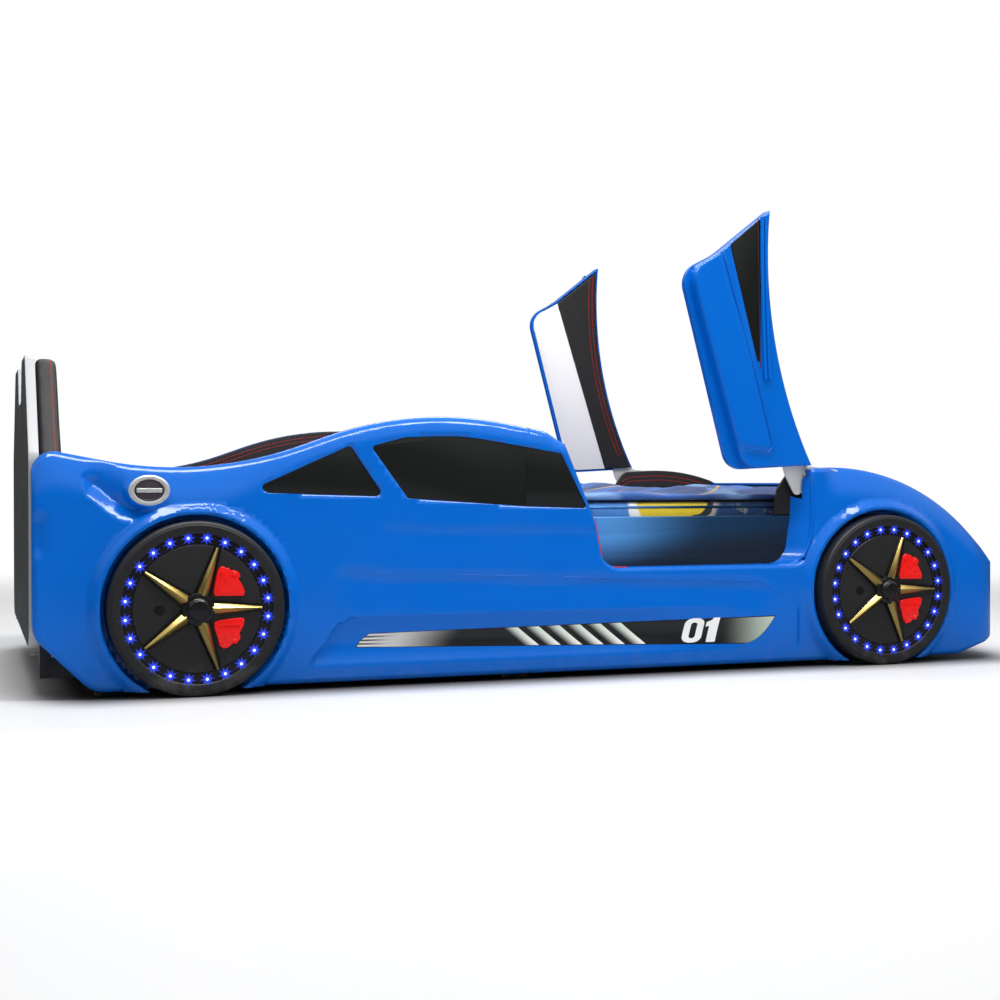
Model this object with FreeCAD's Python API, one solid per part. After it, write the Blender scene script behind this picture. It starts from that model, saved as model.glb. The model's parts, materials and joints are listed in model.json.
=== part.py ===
import FreeCAD, Part
import math
import os

# Child's car bed. Millimetres, +X towards the foot end (the car's nose), +Y to the car's left, +Z up.
# The origin is on the floor, under the middle of the whole bed.
# Parts of the right-hand side (-Y) are modelled, and the left-hand ones are their mirror images.

# ---------------------------------------------------------------- driving dimensions
mattress_length = 1900.0
mattress_width = 900.0
mattress_thickness = 185.0
mattress_side_gap = 6.0  # to each side rail
mattress_head_gap = 5.0  # to the headboard's pad
mattress_foot_gap = 14.0  # to the foot board
nose_length = 311.0  # beyond the foot board

shell_depth = 44.0  # a side shell, outer face to open back
skin = 5.0  # wall of the shells
edge_round = 12.0  # rounding along a shell's outer edge

wheel_radius = 175.0
rear_overhang = 312.5  # shells' rear edge to the rear wheel's centre
front_wheel_setback = 86.5  # front wheel's centre behind the foot board's outer face
wheel_proud = 38.0  # tyre face beyond the shell's face
arch_gap = 12.0  # between tyre and arch
flare_width = 26.0
flare_proud = 14.0
arch_floor = 4.0  # closed back of a wheel well

ground_gap = 12.0  # under the side shells
tail_gap = 4.0  # headboard's back beyond the shells' rear edge
tail_top_z = 495.7
waist_z = 432.0  # where the lines over the rear wheel would cross
roof_z = 588.0  # where the lines over the windows would cross
roof_front_z = 511.0
belt_z = 345.0
sill_z = 238.0
opening_length = 530.5  # of the door opening, along the sill
opening_setback = 174.5  # the opening's front to the front wheel's centre
opening_slant = 40.0  # how far the opening's front wall comes in over the shell's depth
fender_start_z = 457.5
fender_bend_z = 473.0

rail_thickness = 16.0
rail_bottom = 40.0
rail_top = 349.0
slat_thickness = 12.0
slat_width = 70.0
slat_count = 13
bearer_size = 30.0
quilt_thickness = 12.0
board_thickness = 20.0  # headboard
pad_thickness = 44.0
edge_band = 3.0
foot_board_thickness = 16.0

pivot_z = 453.0  # door hinge
open_angle = 75.0  # from closed to the raised rest position
pin_radius = 5.0
pin_clearance = 0.05
door_gap = 5.0

# ---------------------------------------------------------------- worked out from them
board_end = mattress_foot_gap + foot_board_thickness
bed_length = board_thickness + pad_thickness + mattress_head_gap + mattress_length + board_end + nose_length
body_half = mattress_width / 2 + mattress_side_gap + rail_thickness + shell_depth
tail_x = -bed_length / 2 + tail_gap
nose_x = bed_length / 2
nose_start = nose_x - nose_length
rear_wheel_x = tail_x + rear_overhang
front_wheel_x = nose_start - front_wheel_setback
opening_front_x = front_wheel_x - opening_setback
opening_rear_x = opening_front_x - opening_length
pillar_x = opening_rear_x - 20  # where the opening's rear edge bends, at the belt line
roof_front_x = pillar_x - 70.5
seam_x = pillar_x - 152
fender_start_x = opening_front_x - 17
fender_bend_x = front_wheel_x + 105.5
pivot_x = opening_front_x - 9
beyond = 150.0  # how far helping shapes reach past the bed
above = 800.0
wheel_xs = {"rear": rear_wheel_x, "front": front_wheel_x}
arch_radius = wheel_radius + arch_gap
outer_y = -body_half
inner_y = outer_y + shell_depth
rail_y = inner_y + rail_thickness
board_back = -bed_length / 2
board_front = board_back + board_thickness
pad_front = board_front + pad_thickness

Vec = FreeCAD.Vector


# ---------------------------------------------------------------- helpers
def corner(before, here, after, radius):
    # both ends and the middle of the arc that rounds one corner of an outline
    back = (before - here).normalize()
    ahead = (after - here).normalize()
    half = back.getAngle(ahead) / 2
    setback = radius / math.tan(half)
    middle = here + (back + ahead).normalize() * (radius / math.sin(half) - radius)
    return here + back * setback, middle, here + ahead * setback


def rounded_wire(places):
    # places: (point, corner radius) in order round a closed outline
    edges = []
    count = len(places)
    ends = []
    for index, (here, radius) in enumerate(places):
        before = places[index - 1][0]
        after = places[(index + 1) % count][0]
        if radius > 0:
            ends.append(corner(before, here, after, radius))
        else:
            ends.append((here, None, here))
    for index, (start, middle, stop) in enumerate(ends):
        if middle is not None:
            edges.append(Part.Arc(start, middle, stop).toShape())
        following = ends[(index + 1) % count][0]
        if (following - stop).Length > 0.01:
            edges.append(Part.LineSegment(stop, following).toShape())
    return Part.Wire(edges)


def side_wire(points, y):
    # outline in the side view, points (x, z, corner radius)
    return rounded_wire([(Vec(x, y, z), radius) for x, z, radius in points])


def side_slab(points, y_from, y_to):
    face = Part.Face(side_wire(points, y_from))
    return face.extrude(Vec(0, y_to - y_from, 0))


def front_slab(points, x_from, x_to):
    # outline in the front view, points (y, z, corner radius)
    wire = rounded_wire([(Vec(x_from, y, z), radius) for y, z, radius in points])
    return Part.Face(wire).extrude(Vec(x_to - x_from, 0, 0))


def box(x_range, y_range, z_range):
    size = [high - low for low, high in (x_range, y_range, z_range)]
    return Part.makeBox(size[0], size[1], size[2], Vec(x_range[0], y_range[0], z_range[0]))


def disc(x, z, radius, y_from, y_to):
    return Part.makeCylinder(radius, y_to - y_from, Vec(x, y_from, z), Vec(0, 1, 0))


def mirrored(shape):
    return shape.mirror(Vec(0, 0, 0), Vec(0, 1, 0))


def both_sides(shapes):
    return shapes + [mirrored(shape) for shape in shapes]


def edges_on_plane(shape, axis, value):
    # edges that lie wholly in one plane square to an axis
    found = []
    for edge in shape.Edges:
        box_of = edge.BoundBox
        low = getattr(box_of, axis + "Min")
        high = getattr(box_of, axis + "Max")
        if abs(low - value) < 0.01 and abs(high - value) < 0.01:
            found.append(edge)
    return found


def save(name, shapes):
    if not isinstance(shapes, list):
        shapes = [shapes]
    solids = [solid for shape in shapes for solid in shape.Solids]
    part = solids[0] if len(solids) == 1 else Part.makeCompound(solids)
    part.exportStep(f"parts/{name}.step")
    print(name, len(solids), "solids")


def save_pair(name, shapes):
    if not isinstance(shapes, list):
        shapes = [shapes]
    save(name + "_right", shapes)
    save(name + "_left", [mirrored(shape) for shape in shapes])


# ---------------------------------------------------------------- outlines in the side view
fender_line = [
    (fender_bend_x, fender_bend_z, 549),
    (nose_x - 40, 221, 80),
    (nose_x, 160, 70),
    (nose_x, 70, 40),
    (nose_x - 170, ground_gap, 60),
]
rise_start = Vec(rear_wheel_x + 22, 0, waist_z)
rise_end = Vec(pillar_x - 409, 0, roof_z)
roof_fall = Vec(pillar_x - 112, 0, roof_z - 50)
rise_bend = (rise_end - rise_start).Length * 0.43  # how far the two long bends reach along the rise
roof_bend = min(rise_bend, (roof_fall - rise_end).Length * 0.667)


def bend_radius(before, here, after, reach):
    # radius of the rounding that touches both lines at this distance from their corner
    half = (before - here).getAngle(after - here) / 2
    return reach * math.tan(half)


waist_radius = bend_radius(Vec(tail_x, 0, tail_top_z), rise_start, rise_end, rise_bend)
roof_radius = bend_radius(rise_start, rise_end, roof_fall, roof_bend)
roof_line = [
    (tail_x, tail_top_z, 42),
    (rise_start.x, waist_z, waist_radius),
    (rise_end.x, roof_z, roof_radius),
    (roof_fall.x, roof_fall.z, 60),
    (roof_front_x, roof_front_z, 18),
]


def body_outline(slant):
    # slant: how far the front of the door opening stands back towards the rear
    opening = [
        (pillar_x, belt_z, 150),
        (opening_rear_x, sill_z, 48),
        (opening_front_x - 17 - slant, sill_z, 48),
        (opening_front_x - slant, belt_z, 160),
        (opening_front_x - 5 - slant * 0.8, 425, 60),
        (fender_start_x, fender_start_z, 14),
    ]
    return [(tail_x + 113.5, ground_gap, 60), (tail_x, 124.5, 55)] + roof_line + opening + fender_line


nose_bow = 45.0  # how far the nose's front swells between its corners
nose_corner = 110.0
nose_flat = 2.0  # the swell passes the front by this much, which leaves a small flat there


def plan_solid(inset):
    # the space inside the bed's outline as seen from above, with the bowed nose
    half = body_half - inset
    reach = (half * half + nose_bow * nose_bow) / (2 * nose_bow)
    bow = Part.makeCylinder(reach, above + beyond, Vec(nose_x + nose_flat - inset - reach, 0, -beyond))
    block = box((-nose_x - beyond, nose_x + beyond), (-half, half), (-beyond, above))
    # the bow's cylinder is wider than the bed is long, or a block behind it makes up the rest
    space = bow.fuse(box((-nose_x - beyond, nose_x - nose_length), (-half, half), (-beyond, above))).common(block)
    space = space.removeSplitter()
    corners = []
    for edge in space.Edges:
        upright = edge.BoundBox.ZLength > above
        if upright and edge.BoundBox.Center.x > nose_x - nose_length + 1:
            corners.append(edge)
    return space.makeFillet(nose_corner - inset, corners)


plan_outer = plan_solid(0)
plan_inner = plan_solid(skin)


# ---------------------------------------------------------------- side shells
def inset_slab(points, distance, y_from, y_to):
    face = Part.Face(side_wire(points, y_from))
    smaller = face.makeOffset2D(-distance)
    return smaller.extrude(Vec(0, y_to - y_from, 0))


def arch_flare(x):
    # raised lip round a wheel arch, a ring with a sloping outer side
    outer = arch_radius + flare_width
    section = Part.makePolygon([
        Vec(x + arch_radius, outer_y + skin, wheel_radius),
        Vec(x + arch_radius, outer_y - flare_proud, wheel_radius),
        Vec(x + arch_radius + flare_width * 0.3, outer_y - flare_proud, wheel_radius),
        Vec(x + outer, outer_y + 1, wheel_radius),
        Vec(x + outer, outer_y + skin, wheel_radius),
        Vec(x + arch_radius, outer_y + skin, wheel_radius),
    ])
    ring = Part.Face(section).revolve(Vec(x, 0, wheel_radius), Vec(0, 1, 0), 360)
    keep = box((x - outer - 1, x + outer + 1), (outer_y - 50, inner_y), (ground_gap, above))
    return ring.common(keep)


quarter_window = [
    (rear_wheel_x + 124.5, 416, 8),
    (pillar_x - 552.5, 503, 10),
    (pillar_x - 478.5, 396, 10),
    (rear_wheel_x + 148.5, 404, 10),
]
window_outline = [
    (pillar_x - 508.5, 501, 6),
    (pillar_x - 432.5, 521, 60),
    (pillar_x - 302.5, 525, 500),
    (pillar_x - 81.5, 489, 6),
    (pillar_x - 19.5, 369, 6),
    (pillar_x - 162.5, 374, 0),
    (pillar_x - 428.5, 392, 8),
]
window_pocket = 3.0
window_thickness = 2.0
window_joint = 0.6  # half the gap between the two side windows
window_seam_x = seam_x - 11.5
window_clearance = 0.4

cap_x = rear_wheel_x - 90
cap_z = 410.0
cap_half_width = 40.5
cap_half_height = 30.5
cap_proud = 6.0
cap_rim = 7.0
cap_dish = 3.0
cap_boss_radius = 10.0

scoop_low = 47.0  # hollow band along the sill
scoop_high = 147.0
scoop_depth = 9.0
scoop_rear = rear_wheel_x + 228  # its lower end, from where it slants up and forwards
scoop_front = front_wheel_x - 219.5


def slanting_block(inset, y_from, y_to):
    # the outline through the shell's depth, where the opening's front wall slants
    wires = []
    for y in (y_from, y_to):
        slant = opening_slant * (y - outer_y) / shell_depth
        face = Part.Face(side_wire(body_outline(slant), y))
        if inset > 0:
            face = face.makeOffset2D(-inset)
        wires.append(face.OuterWire)
    return Part.makeLoft(wires, True, True)


def outer_block():
    # the shell's outer form, solid, with its outer edge rounded
    straight = side_slab(body_outline(0), outer_y, inner_y)
    straight = straight.makeFillet(edge_round, edges_on_plane(straight, "Y", outer_y))
    front_wall = box((opening_front_x - 143, opening_front_x + 57), (outer_y + edge_round * 0.75, inner_y),
                     (sill_z - 12, fender_start_z - 18))
    return straight.fuse(slanting_block(0, outer_y, inner_y).common(front_wall))


def sill_scoop():
    half = (scoop_high - scoop_low) / 2
    radius = (half * half + scoop_depth * scoop_depth) / (2 * scoop_depth)
    centre = Vec(scoop_rear - 1, outer_y - radius + scoop_depth, (scoop_high + scoop_low) / 2)
    band = Part.makeCylinder(radius, scoop_front - scoop_rear + 2, centre, Vec(1, 0, 0))
    line = [(scoop_rear, scoop_low, 0), (scoop_rear + 64, scoop_high - 14, 22), (scoop_rear + 102, scoop_high, 0),
            (scoop_front, scoop_high, 0), (scoop_front, scoop_low, 0)]
    return band.common(side_slab(line, outer_y - 1, outer_y + scoop_depth))


hinge_pocket_outer = outer_y + 22
hinge_pocket_radius = 66.0
seam_flange = 4.0


def side_shell():
    body = outer_block().common(plan_outer)
    hollow = slanting_block(skin, outer_y + skin, inner_y + 1).common(plan_inner)
    # the wells of the wheels and the flanges of the seam stay inside the hollow
    for x in wheel_xs.values():
        hollow = hollow.cut(disc(x, wheel_radius, arch_radius + skin, outer_y - 1, inner_y + 2))
    hollow = hollow.cut(box((seam_x - seam_flange, seam_x + seam_flange), (outer_y, inner_y + 2), (-beyond, above)))
    scoop = sill_scoop()
    hollow = hollow.cut(scoop_backing())
    body = body.cut(hollow)
    for x in wheel_xs.values():
        body = body.fuse(arch_flare(x))
        body = body.cut(disc(x, wheel_radius, arch_radius, outer_y - 60, inner_y - arch_floor))
    body = body.cut(scoop)
    windows = side_slab(quarter_window, outer_y - 1, outer_y + window_pocket)
    windows = windows.fuse(side_slab(window_outline, outer_y - 1, outer_y + window_pocket))
    body = body.cut(windows)
    pocket = disc(pivot_x, pivot_z, hinge_pocket_radius, hinge_pocket_outer, inner_y + 1)
    body = body.cut(pocket)
    body = body.cut(box((pivot_x, pivot_x + 90), (hinge_pocket_outer, inner_y + 1), (pivot_z - 20, pivot_z + 20)))
    return body.removeSplitter()


def scoop_backing():
    # the skin follows the hollow band, so the inside keeps its wall there
    return box((scoop_rear - 5, scoop_front + 5), (outer_y, outer_y + scoop_depth + skin), (scoop_low - 5, scoop_high + 5))


def windows():
    # thin gloss panels, each in its pocket in the skin
    from_y = outer_y + window_pocket - window_thickness
    to_y = outer_y + window_pocket
    quarter = inset_slab(quarter_window, window_clearance, from_y, to_y)
    pane = inset_slab(window_outline, window_clearance, from_y, to_y)
    rear = pane.common(box((tail_x, window_seam_x - window_joint), (outer_y, inner_y), (0, above)))
    front = pane.common(box((window_seam_x + window_joint, nose_x), (outer_y, inner_y), (0, above)))
    return quarter, rear, front


def filler_cap():
    # oval lid with a raised rim and a round boss for its lock
    def oval(half_width, half_height, y_from, y_to):
        curve = Part.Ellipse(Vec(cap_x, y_from, cap_z), half_width, half_height)
        curve.Axis = Vec(0, -1, 0)
        curve.XAxis = Vec(1, 0, 0)
        return Part.Face(Part.Wire(curve.toShape())).extrude(Vec(0, y_to - y_from, 0))
    lid = oval(cap_half_width, cap_half_height, outer_y - cap_proud, outer_y)
    dish = oval(cap_half_width - cap_rim, cap_half_height - cap_rim, outer_y - cap_proud - 1, outer_y - cap_dish)
    boss = disc(cap_x, cap_z, cap_boss_radius, outer_y - cap_proud, outer_y)
    return lid.cut(dish).fuse(boss)


# ---------------------------------------------------------------- wheels
wheel_back = inner_y - arch_floor
tyre_face = outer_y - wheel_proud
shoulder = 8.0  # rounding of the tyre's outer edge
disc_radius = 128.0
disc_face = tyre_face + 4
light_outer = 149.0
light_depth = 8.0  # groove for the light ring, from the disc's face
light_gap = 0.5
lamp_count = 24
lamp_circle = 142.0
lamp_size = 5.0
lamp_height = 2.0
spoke_count = 5
ridge_height = 4.0
ridge_half = 17.8
ridge_tip_half = 6.8
blade_half = 12.0
blade_peak = 9.0
blade_tip_half = 2.6
hub_radius = 33.0
hub_height = 6.0
cap_radius = 22.5
cap_height = 7.0
caliper_height = 6.0
caliper_corner = 1.5
# outlines of the two castings, from the wheel's centre
caliper_high = [(32, 25), (30, 35), (33, 55), (38, 75), (44, 83), (55, 82), (61, 81), (65, 75),
                (72, 76), (80, 72), (84, 65), (80, 58), (90, 41), (93, 32), (90, 24)]
caliper_low = [(31, -27), (41, -23), (66, -20), (86, -19), (92, -22), (91, -33), (82, -50),
               (84, -60), (77, -70), (68, -71), (60, -78), (49, -80), (42, -73), (37, -55), (32, -40)]


def turned(x, section):
    # revolve a (radius, y) section about a wheel's axis
    points = [Vec(x + radius, y, wheel_radius) for radius, y in section]
    face = Part.Face(Part.makePolygon(points + [points[0]]))
    return face.revolve(Vec(x, 0, wheel_radius), Vec(0, 1, 0), 360)


def star(x, base_y, halves, heights, reach):
    # tapered bars from the hub outwards, each lofted between two end sections
    start = hub_radius * 0.6

    def section(radius, half, height):
        points = [
            Vec(x + radius, base_y, wheel_radius - half),
            Vec(x + radius, base_y - height, wheel_radius),
            Vec(x + radius, base_y, wheel_radius + half),
        ]
        return Part.makePolygon(points + [points[0]])
    bar = Part.makeLoft([section(start, halves[0], heights[0]), section(reach, halves[1], heights[1])], True, True)
    bars = []
    for index in range(spoke_count):
        copy = bar.copy()
        copy.rotate(Vec(x, 0, wheel_radius), Vec(0, 1, 0), index * 360 / spoke_count)
        bars.append(copy)
    return bars


def ridges(x):
    # flat-topped bars under the blades, part of the wheel's moulding
    def section(radius, half):
        low = wheel_radius - half
        high = wheel_radius + half
        slope = ridge_height * 0.5
        points = [
            Vec(x + radius, disc_face + 1, low - slope),
            Vec(x + radius, disc_face - ridge_height, low),
            Vec(x + radius, disc_face - ridge_height, high),
            Vec(x + radius, disc_face + 1, high + slope),
        ]
        return Part.makePolygon(points + [points[0]])
    wires = [section(hub_radius * 0.5, ridge_half), section(disc_radius - 1, ridge_tip_half)]
    bar = Part.makeLoft(wires, True, True)
    bars = []
    for index in range(spoke_count):
        copy = bar.copy()
        copy.rotate(Vec(x, 0, wheel_radius), Vec(0, 1, 0), index * 360 / spoke_count)
        bars.append(copy)
    return bars


def wheel(x):
    # tyre and disc are one moulding with a groove for the light ring
    groove_floor = disc_face + light_depth
    section = [
        (0, wheel_back), (wheel_radius - shoulder, wheel_back), (wheel_radius, wheel_back - shoulder),
        (wheel_radius, tyre_face + shoulder), (wheel_radius - shoulder * 0.3, tyre_face + shoulder * 0.3),
        (wheel_radius - shoulder, tyre_face), (light_outer + 4, tyre_face), (light_outer, tyre_face + 4),
        (light_outer, groove_floor), (disc_radius, groove_floor), (disc_radius, disc_face), (0, disc_face),
    ]
    rim = turned(x, section)
    for bar in ridges(x):
        rim = rim.fuse(bar)
    hub_seat = disc(x, wheel_radius, hub_radius, disc_face - ridge_height, disc_face + 1)
    return rim.fuse(hub_seat).removeSplitter()


def light_ring(x):
    floor = disc_face + light_depth
    front = disc_face + 1
    inner = disc_radius + light_gap
    outer = light_outer - light_gap
    channel_low = lamp_circle - lamp_size / 2 - 1.5
    channel_high = lamp_circle + lamp_size / 2 + 1.5
    channel = floor - lamp_height - 1.5
    return turned(x, [
        (inner, floor), (inner, front), (outer, front), (outer, floor),
        (channel_high, floor), (channel_high, channel), (channel_low, channel), (channel_low, floor),
    ])


def lamps(x):
    floor = disc_face + light_depth
    size = (lamp_size, lamp_height, lamp_size)
    corner_of = Vec(x + lamp_circle - lamp_size / 2, floor - lamp_height, wheel_radius - lamp_size / 2)
    lamp = Part.makeBox(size[0], size[1], size[2], corner_of)
    found = []
    for index in range(lamp_count):
        copy = lamp.copy()
        copy.rotate(Vec(x, 0, wheel_radius), Vec(0, 1, 0), (index + 0.5) * 360 / lamp_count)
        found.append(copy)
    return found


def spoke_star(x):
    base = disc_face - ridge_height
    blades = star(x, base, (blade_half, blade_tip_half), (blade_peak, 1.5), disc_radius)
    hub = disc(x, wheel_radius, hub_radius, base - hub_height, base)
    for blade in blades:
        hub = hub.fuse(blade)
    return hub.removeSplitter()


def hub_cap(x):
    base = disc_face - ridge_height - max(hub_height, blade_peak)
    cap = turned(x, [
        (0, base), (cap_radius, base), (cap_radius, base - cap_height * 0.4),
        (cap_radius * 0.75, base - cap_height), (0, base - cap_height),
    ])
    return cap


def calipers(x):
    found = []
    for outline in (caliper_low, caliper_high):
        points = [(x + across, wheel_radius + up, caliper_corner) for across, up in outline]
        block = side_slab(points, disc_face - caliper_height, disc_face)
        for bar in ridges(x) + star(x, disc_face - ridge_height, (blade_half, blade_tip_half),
                                    (blade_peak, 1.5), disc_radius):
            block = block.cut(bar)
        found.append(max(block.Solids, key=lambda solid: solid.Volume))
    return found


# ---------------------------------------------------------------- linings inside the shells
lining_thickness = 10.0
lining_drop = 3.0  # linings start this far above the rails
lining_y = inner_y + lining_thickness
fender_lining_front = nose_start - foot_board_thickness


def quarter_lining():
    sheet = inset_slab(body_outline(0), 1, inner_y, lining_y)
    space = box((pad_front + 2, opening_rear_x), (inner_y, lining_y), (rail_top + lining_drop, above))
    return sheet.common(space)


def fender_lining():
    low = rail_top - 30
    line = [(opening_front_x - 88, low, 0), (opening_front_x - 72, belt_z + 67, 40),
            (opening_front_x - 38, fender_start_z - 1, 30), (fender_bend_x, fender_bend_z - 1, 549),
            (nose_x + 45, fender_bend_z - 338, 0), (nose_x + 45, low, 0)]
    sheet = side_slab(line, inner_y, lining_y)
    space = box((opening_rear_x, fender_lining_front), (inner_y, lining_y), (rail_top + lining_drop, above))
    return sheet.common(space)


# ---------------------------------------------------------------- doors, modelled closed and then raised
door_tip_z = 503.0
door_heel = (pivot_x - 11, pivot_z + 6)
door_sag = 42.0  # how far the top edge dips between tip and heel
door_low_rear = (opening_rear_x + 5.5, sill_z + 32)
door_low_front = (opening_front_x - 59, sill_z + 47)
flange_low_rear = (opening_rear_x + door_gap, sill_z + 18)
flange_low_front = (opening_front_x - 63, sill_z + 18)
panel_back = outer_y + 22
flange_back = outer_y + 37
card_thickness = 3.0
trim_thickness = 6.0
door_skin = 4.0
door_window = [(pillar_x - 50.5, 474, 5), (pillar_x + 299.5, 380, 5), (pillar_x - 6.5, 380, 8)]
door_window_pocket = 2.0
trim_line = [(pillar_x - 15.5, 350), (pillar_x + 507.5, 372)]  # lower edge of the leather trim
trim_inset = 6.0


def door_outline(low_rear, low_front, rear_radius, front_radius, y):
    # its rear edge keeps the door gap from the opening's rear edge
    slope = (pillar_x - roof_front_x) / (roof_front_z - belt_z)
    gap_across = door_gap * math.hypot(1, slope)
    tip = Vec(pillar_x + gap_across - slope * (door_tip_z - belt_z), y, door_tip_z)
    bend = Vec(pillar_x + gap_across, y, belt_z)
    heel = Vec(door_heel[0], y, door_heel[1])
    rear = Vec(low_rear[0], y, low_rear[1])
    front = Vec(low_front[0], y, low_front[1])
    middle = (tip + heel) * 0.5 - Vec(0, 0, door_sag)
    bend_arc = corner(tip, bend, rear, 145)
    rear_arc = corner(bend, rear, front, rear_radius)
    front_arc = corner(rear, front, heel, front_radius)
    return Part.Wire([
        Part.Arc(heel, middle, tip).toShape(),
        Part.LineSegment(tip, bend_arc[0]).toShape(),
        Part.Arc(*bend_arc).toShape(),
        Part.LineSegment(bend_arc[2], rear_arc[0]).toShape(),
        Part.Arc(*rear_arc).toShape(),
        Part.LineSegment(rear_arc[2], front_arc[0]).toShape(),
        Part.Arc(*front_arc).toShape(),
        Part.LineSegment(front_arc[2], heel).toShape(),
    ])


def panel_wire(y):
    return door_outline(door_low_rear, door_low_front, 45, 42, y)


def flange_wire(y):
    return door_outline(flange_low_rear, flange_low_front, 50, 45, y)


def prism(wire, depth, inset=0):
    face = Part.Face(wire)
    if inset:
        face = face.makeOffset2D(-inset)
    return face.extrude(Vec(0, depth, 0))


def door_shell():
    panel = prism(panel_wire(outer_y), panel_back - outer_y)
    lower = [edge for edge in edges_on_plane(panel, "Y", outer_y) if edge.BoundBox.ZMin < 460]
    panel = panel.makeFillet(6, lower)
    panel = panel.fuse(prism(flange_wire(panel_back), flange_back - panel_back))
    hollow = prism(panel_wire(outer_y + door_skin), flange_back - outer_y, door_skin)
    mounting = disc(pivot_x - 40, pivot_z - 40, 34, outer_y, arm_outer)
    hollow = hollow.cut(mounting)
    panel = panel.cut(hollow)
    slot = side_slab(arm_line, arm_outer, flange_back + 1)
    slot.rotate(Vec(pivot_x, 0, pivot_z), Vec(0, 1, 0), -open_angle)
    panel = panel.cut(slot)
    panel = panel.cut(side_slab(door_window, outer_y - 1, outer_y + door_window_pocket))
    return panel.removeSplitter()


def door_card_and_trim():
    inside = prism(flange_wire(flange_back), card_thickness + trim_thickness, trim_inset)
    (x_low, z_low), (x_high, z_high) = trim_line
    slope = (z_high - z_low) / (x_high - x_low)
    line = [(x - ahead, z - slope * ahead, 0) for x, z, ahead in ((x_low, z_low, beyond), (x_high, z_high, -beyond))]
    line = line + [(x_high + beyond, above, 0), (x_low - beyond, above, 0)]
    upper = side_slab(line, flange_back - 1, 0)
    around = (x_low - beyond, x_high + beyond)
    card = inside.cut(upper).common(box(around, (flange_back, flange_back + card_thickness), (0, above)))
    trim = inside.common(upper)
    trim = trim.common(box(around, (flange_back, flange_back + trim_thickness), (0, above)))
    trim = trim.makeFillet(2.5, edges_on_plane(trim, "Y", flange_back + trim_thickness))
    return card, trim


arm_outer = outer_y + 28
arm_thickness = 5.0
arm_inner = arm_outer + arm_thickness
cheek_thickness = 3.0
cheek_gap = 2.0  # between the arm and each cheek
arm_line = [(pivot_x + across, pivot_z + up, radius) for across, up, radius in (
    (-58, 107, 10), (-62, 22, 0), (-51.5, -12, 30), (-25.5, -59, 12), (16, -41, 20), (17, 4, 8), (-9, 24, 10),
    (-42, 107, 8))]


def raised(shape):
    shape = shape.copy()
    shape.rotate(Vec(pivot_x, 0, pivot_z), Vec(0, 1, 0), open_angle)
    return shape


def hinge_arm():
    # drawn in the raised position, where it hangs from the door into the fender's pocket
    plate = side_slab(arm_line, arm_outer, arm_inner)
    return plate.cut(disc(pivot_x, pivot_z, pin_radius + pin_clearance, arm_outer - 1, arm_inner + 1))


def hinge_bracket():
    # two cheeks on a base that is screwed to the fender lining's board
    cheeks = []
    near = arm_outer - cheek_gap - cheek_thickness
    far = arm_inner + cheek_gap
    line = [(pivot_x - 12, pivot_z - 14, 12), (pivot_x + 84, pivot_z - 16, 4),
            (pivot_x + 84, pivot_z + 2, 4), (pivot_x - 4, pivot_z + 12, 11)]
    for y in (near, far):
        cheeks.append(side_slab(line, y, y + cheek_thickness))
    base = box((pivot_x + 70, pivot_x + 84), (near, inner_y), (pivot_z - 15, pivot_z))
    bracket = base.fuse(cheeks[0]).fuse(cheeks[1])
    bracket = bracket.cut(disc(pivot_x, pivot_z, pin_radius, near - 1, far + cheek_thickness + 1))
    return bracket.removeSplitter()


def hinge_pin():
    near = arm_outer - cheek_gap - cheek_thickness
    far = arm_inner + cheek_gap + cheek_thickness
    return disc(pivot_x, pivot_z, pin_radius, near, far)


# ---------------------------------------------------------------- nose
lamp_outline = [(outer_y + 76, 262, 14), (outer_y + 231, 300, 20), (outer_y + 271, 262, 14),
                (outer_y + 216, 228, 14), (outer_y + 86, 214, 20)]
grille_half_width = body_half - 261
grille_low = 62.0
grille_high = 158.0
grille_bar = 7.0
grille_slot = 12.0


def nose_parts():
    start = nose_start - 144
    line = [(start, ground_gap, 0), (start, fender_start_z + 6.7, 0)] + fender_line
    ahead = nose_x + beyond
    middle = nose_start + 56
    space = box((nose_start, ahead), (inner_y, -inner_y), (-beyond, above))
    solid = side_slab(line, inner_y, -inner_y).common(plan_outer).common(space)
    deeper = box((nose_start - 1, ahead), (inner_y + skin, -inner_y - skin), (-beyond, above))
    hollow = inset_slab(line, skin, inner_y, -inner_y).common(plan_inner).common(deeper)
    wall = solid.cut(hollow)
    lamp_space = front_slab(lamp_outline, middle, ahead)
    lamp_space = lamp_space.fuse(mirrored(lamp_space))
    slot_line = [(-grille_half_width, grille_low, 20), (grille_half_width, grille_low, 20),
                 (grille_half_width - 30, grille_high, 20), (-grille_half_width + 30, grille_high, 20)]
    grille_space = front_slab(slot_line, middle, ahead)
    nose = wall.cut(lamp_space).cut(grille_space)
    headlamps = wall.common(lamp_space)
    grille = wall.common(grille_space)
    z = grille_low + grille_bar
    while z + grille_slot < grille_high:
        grille = grille.cut(box((middle, ahead), (-grille_half_width + 42, -grille_bar), (z, z + grille_slot)))
        grille = grille.cut(box((middle, ahead), (grille_bar, grille_half_width - 42), (z, z + grille_slot)))
        z += grille_slot + grille_bar
    return nose, headlamps, grille


# ---------------------------------------------------------------- headboard
ear_top = 690.0
dip_z = 602.0
headboard_half = body_half - shell_depth - 4
ear_half = headboard_half - 178  # outer side of each ear, at its top
headboard_line = [(-headboard_half, 96, 60), (-headboard_half, 478, 40), (-ear_half, ear_top, 40), (-112, ear_top, 34),
                  (-70, dip_z, 26), (70, dip_z, 26), (112, ear_top, 34), (ear_half, ear_top, 40),
                  (headboard_half, 478, 40), (headboard_half, 96, 60)]
soft_gap = 0.3
pad_round = 12.0


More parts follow.
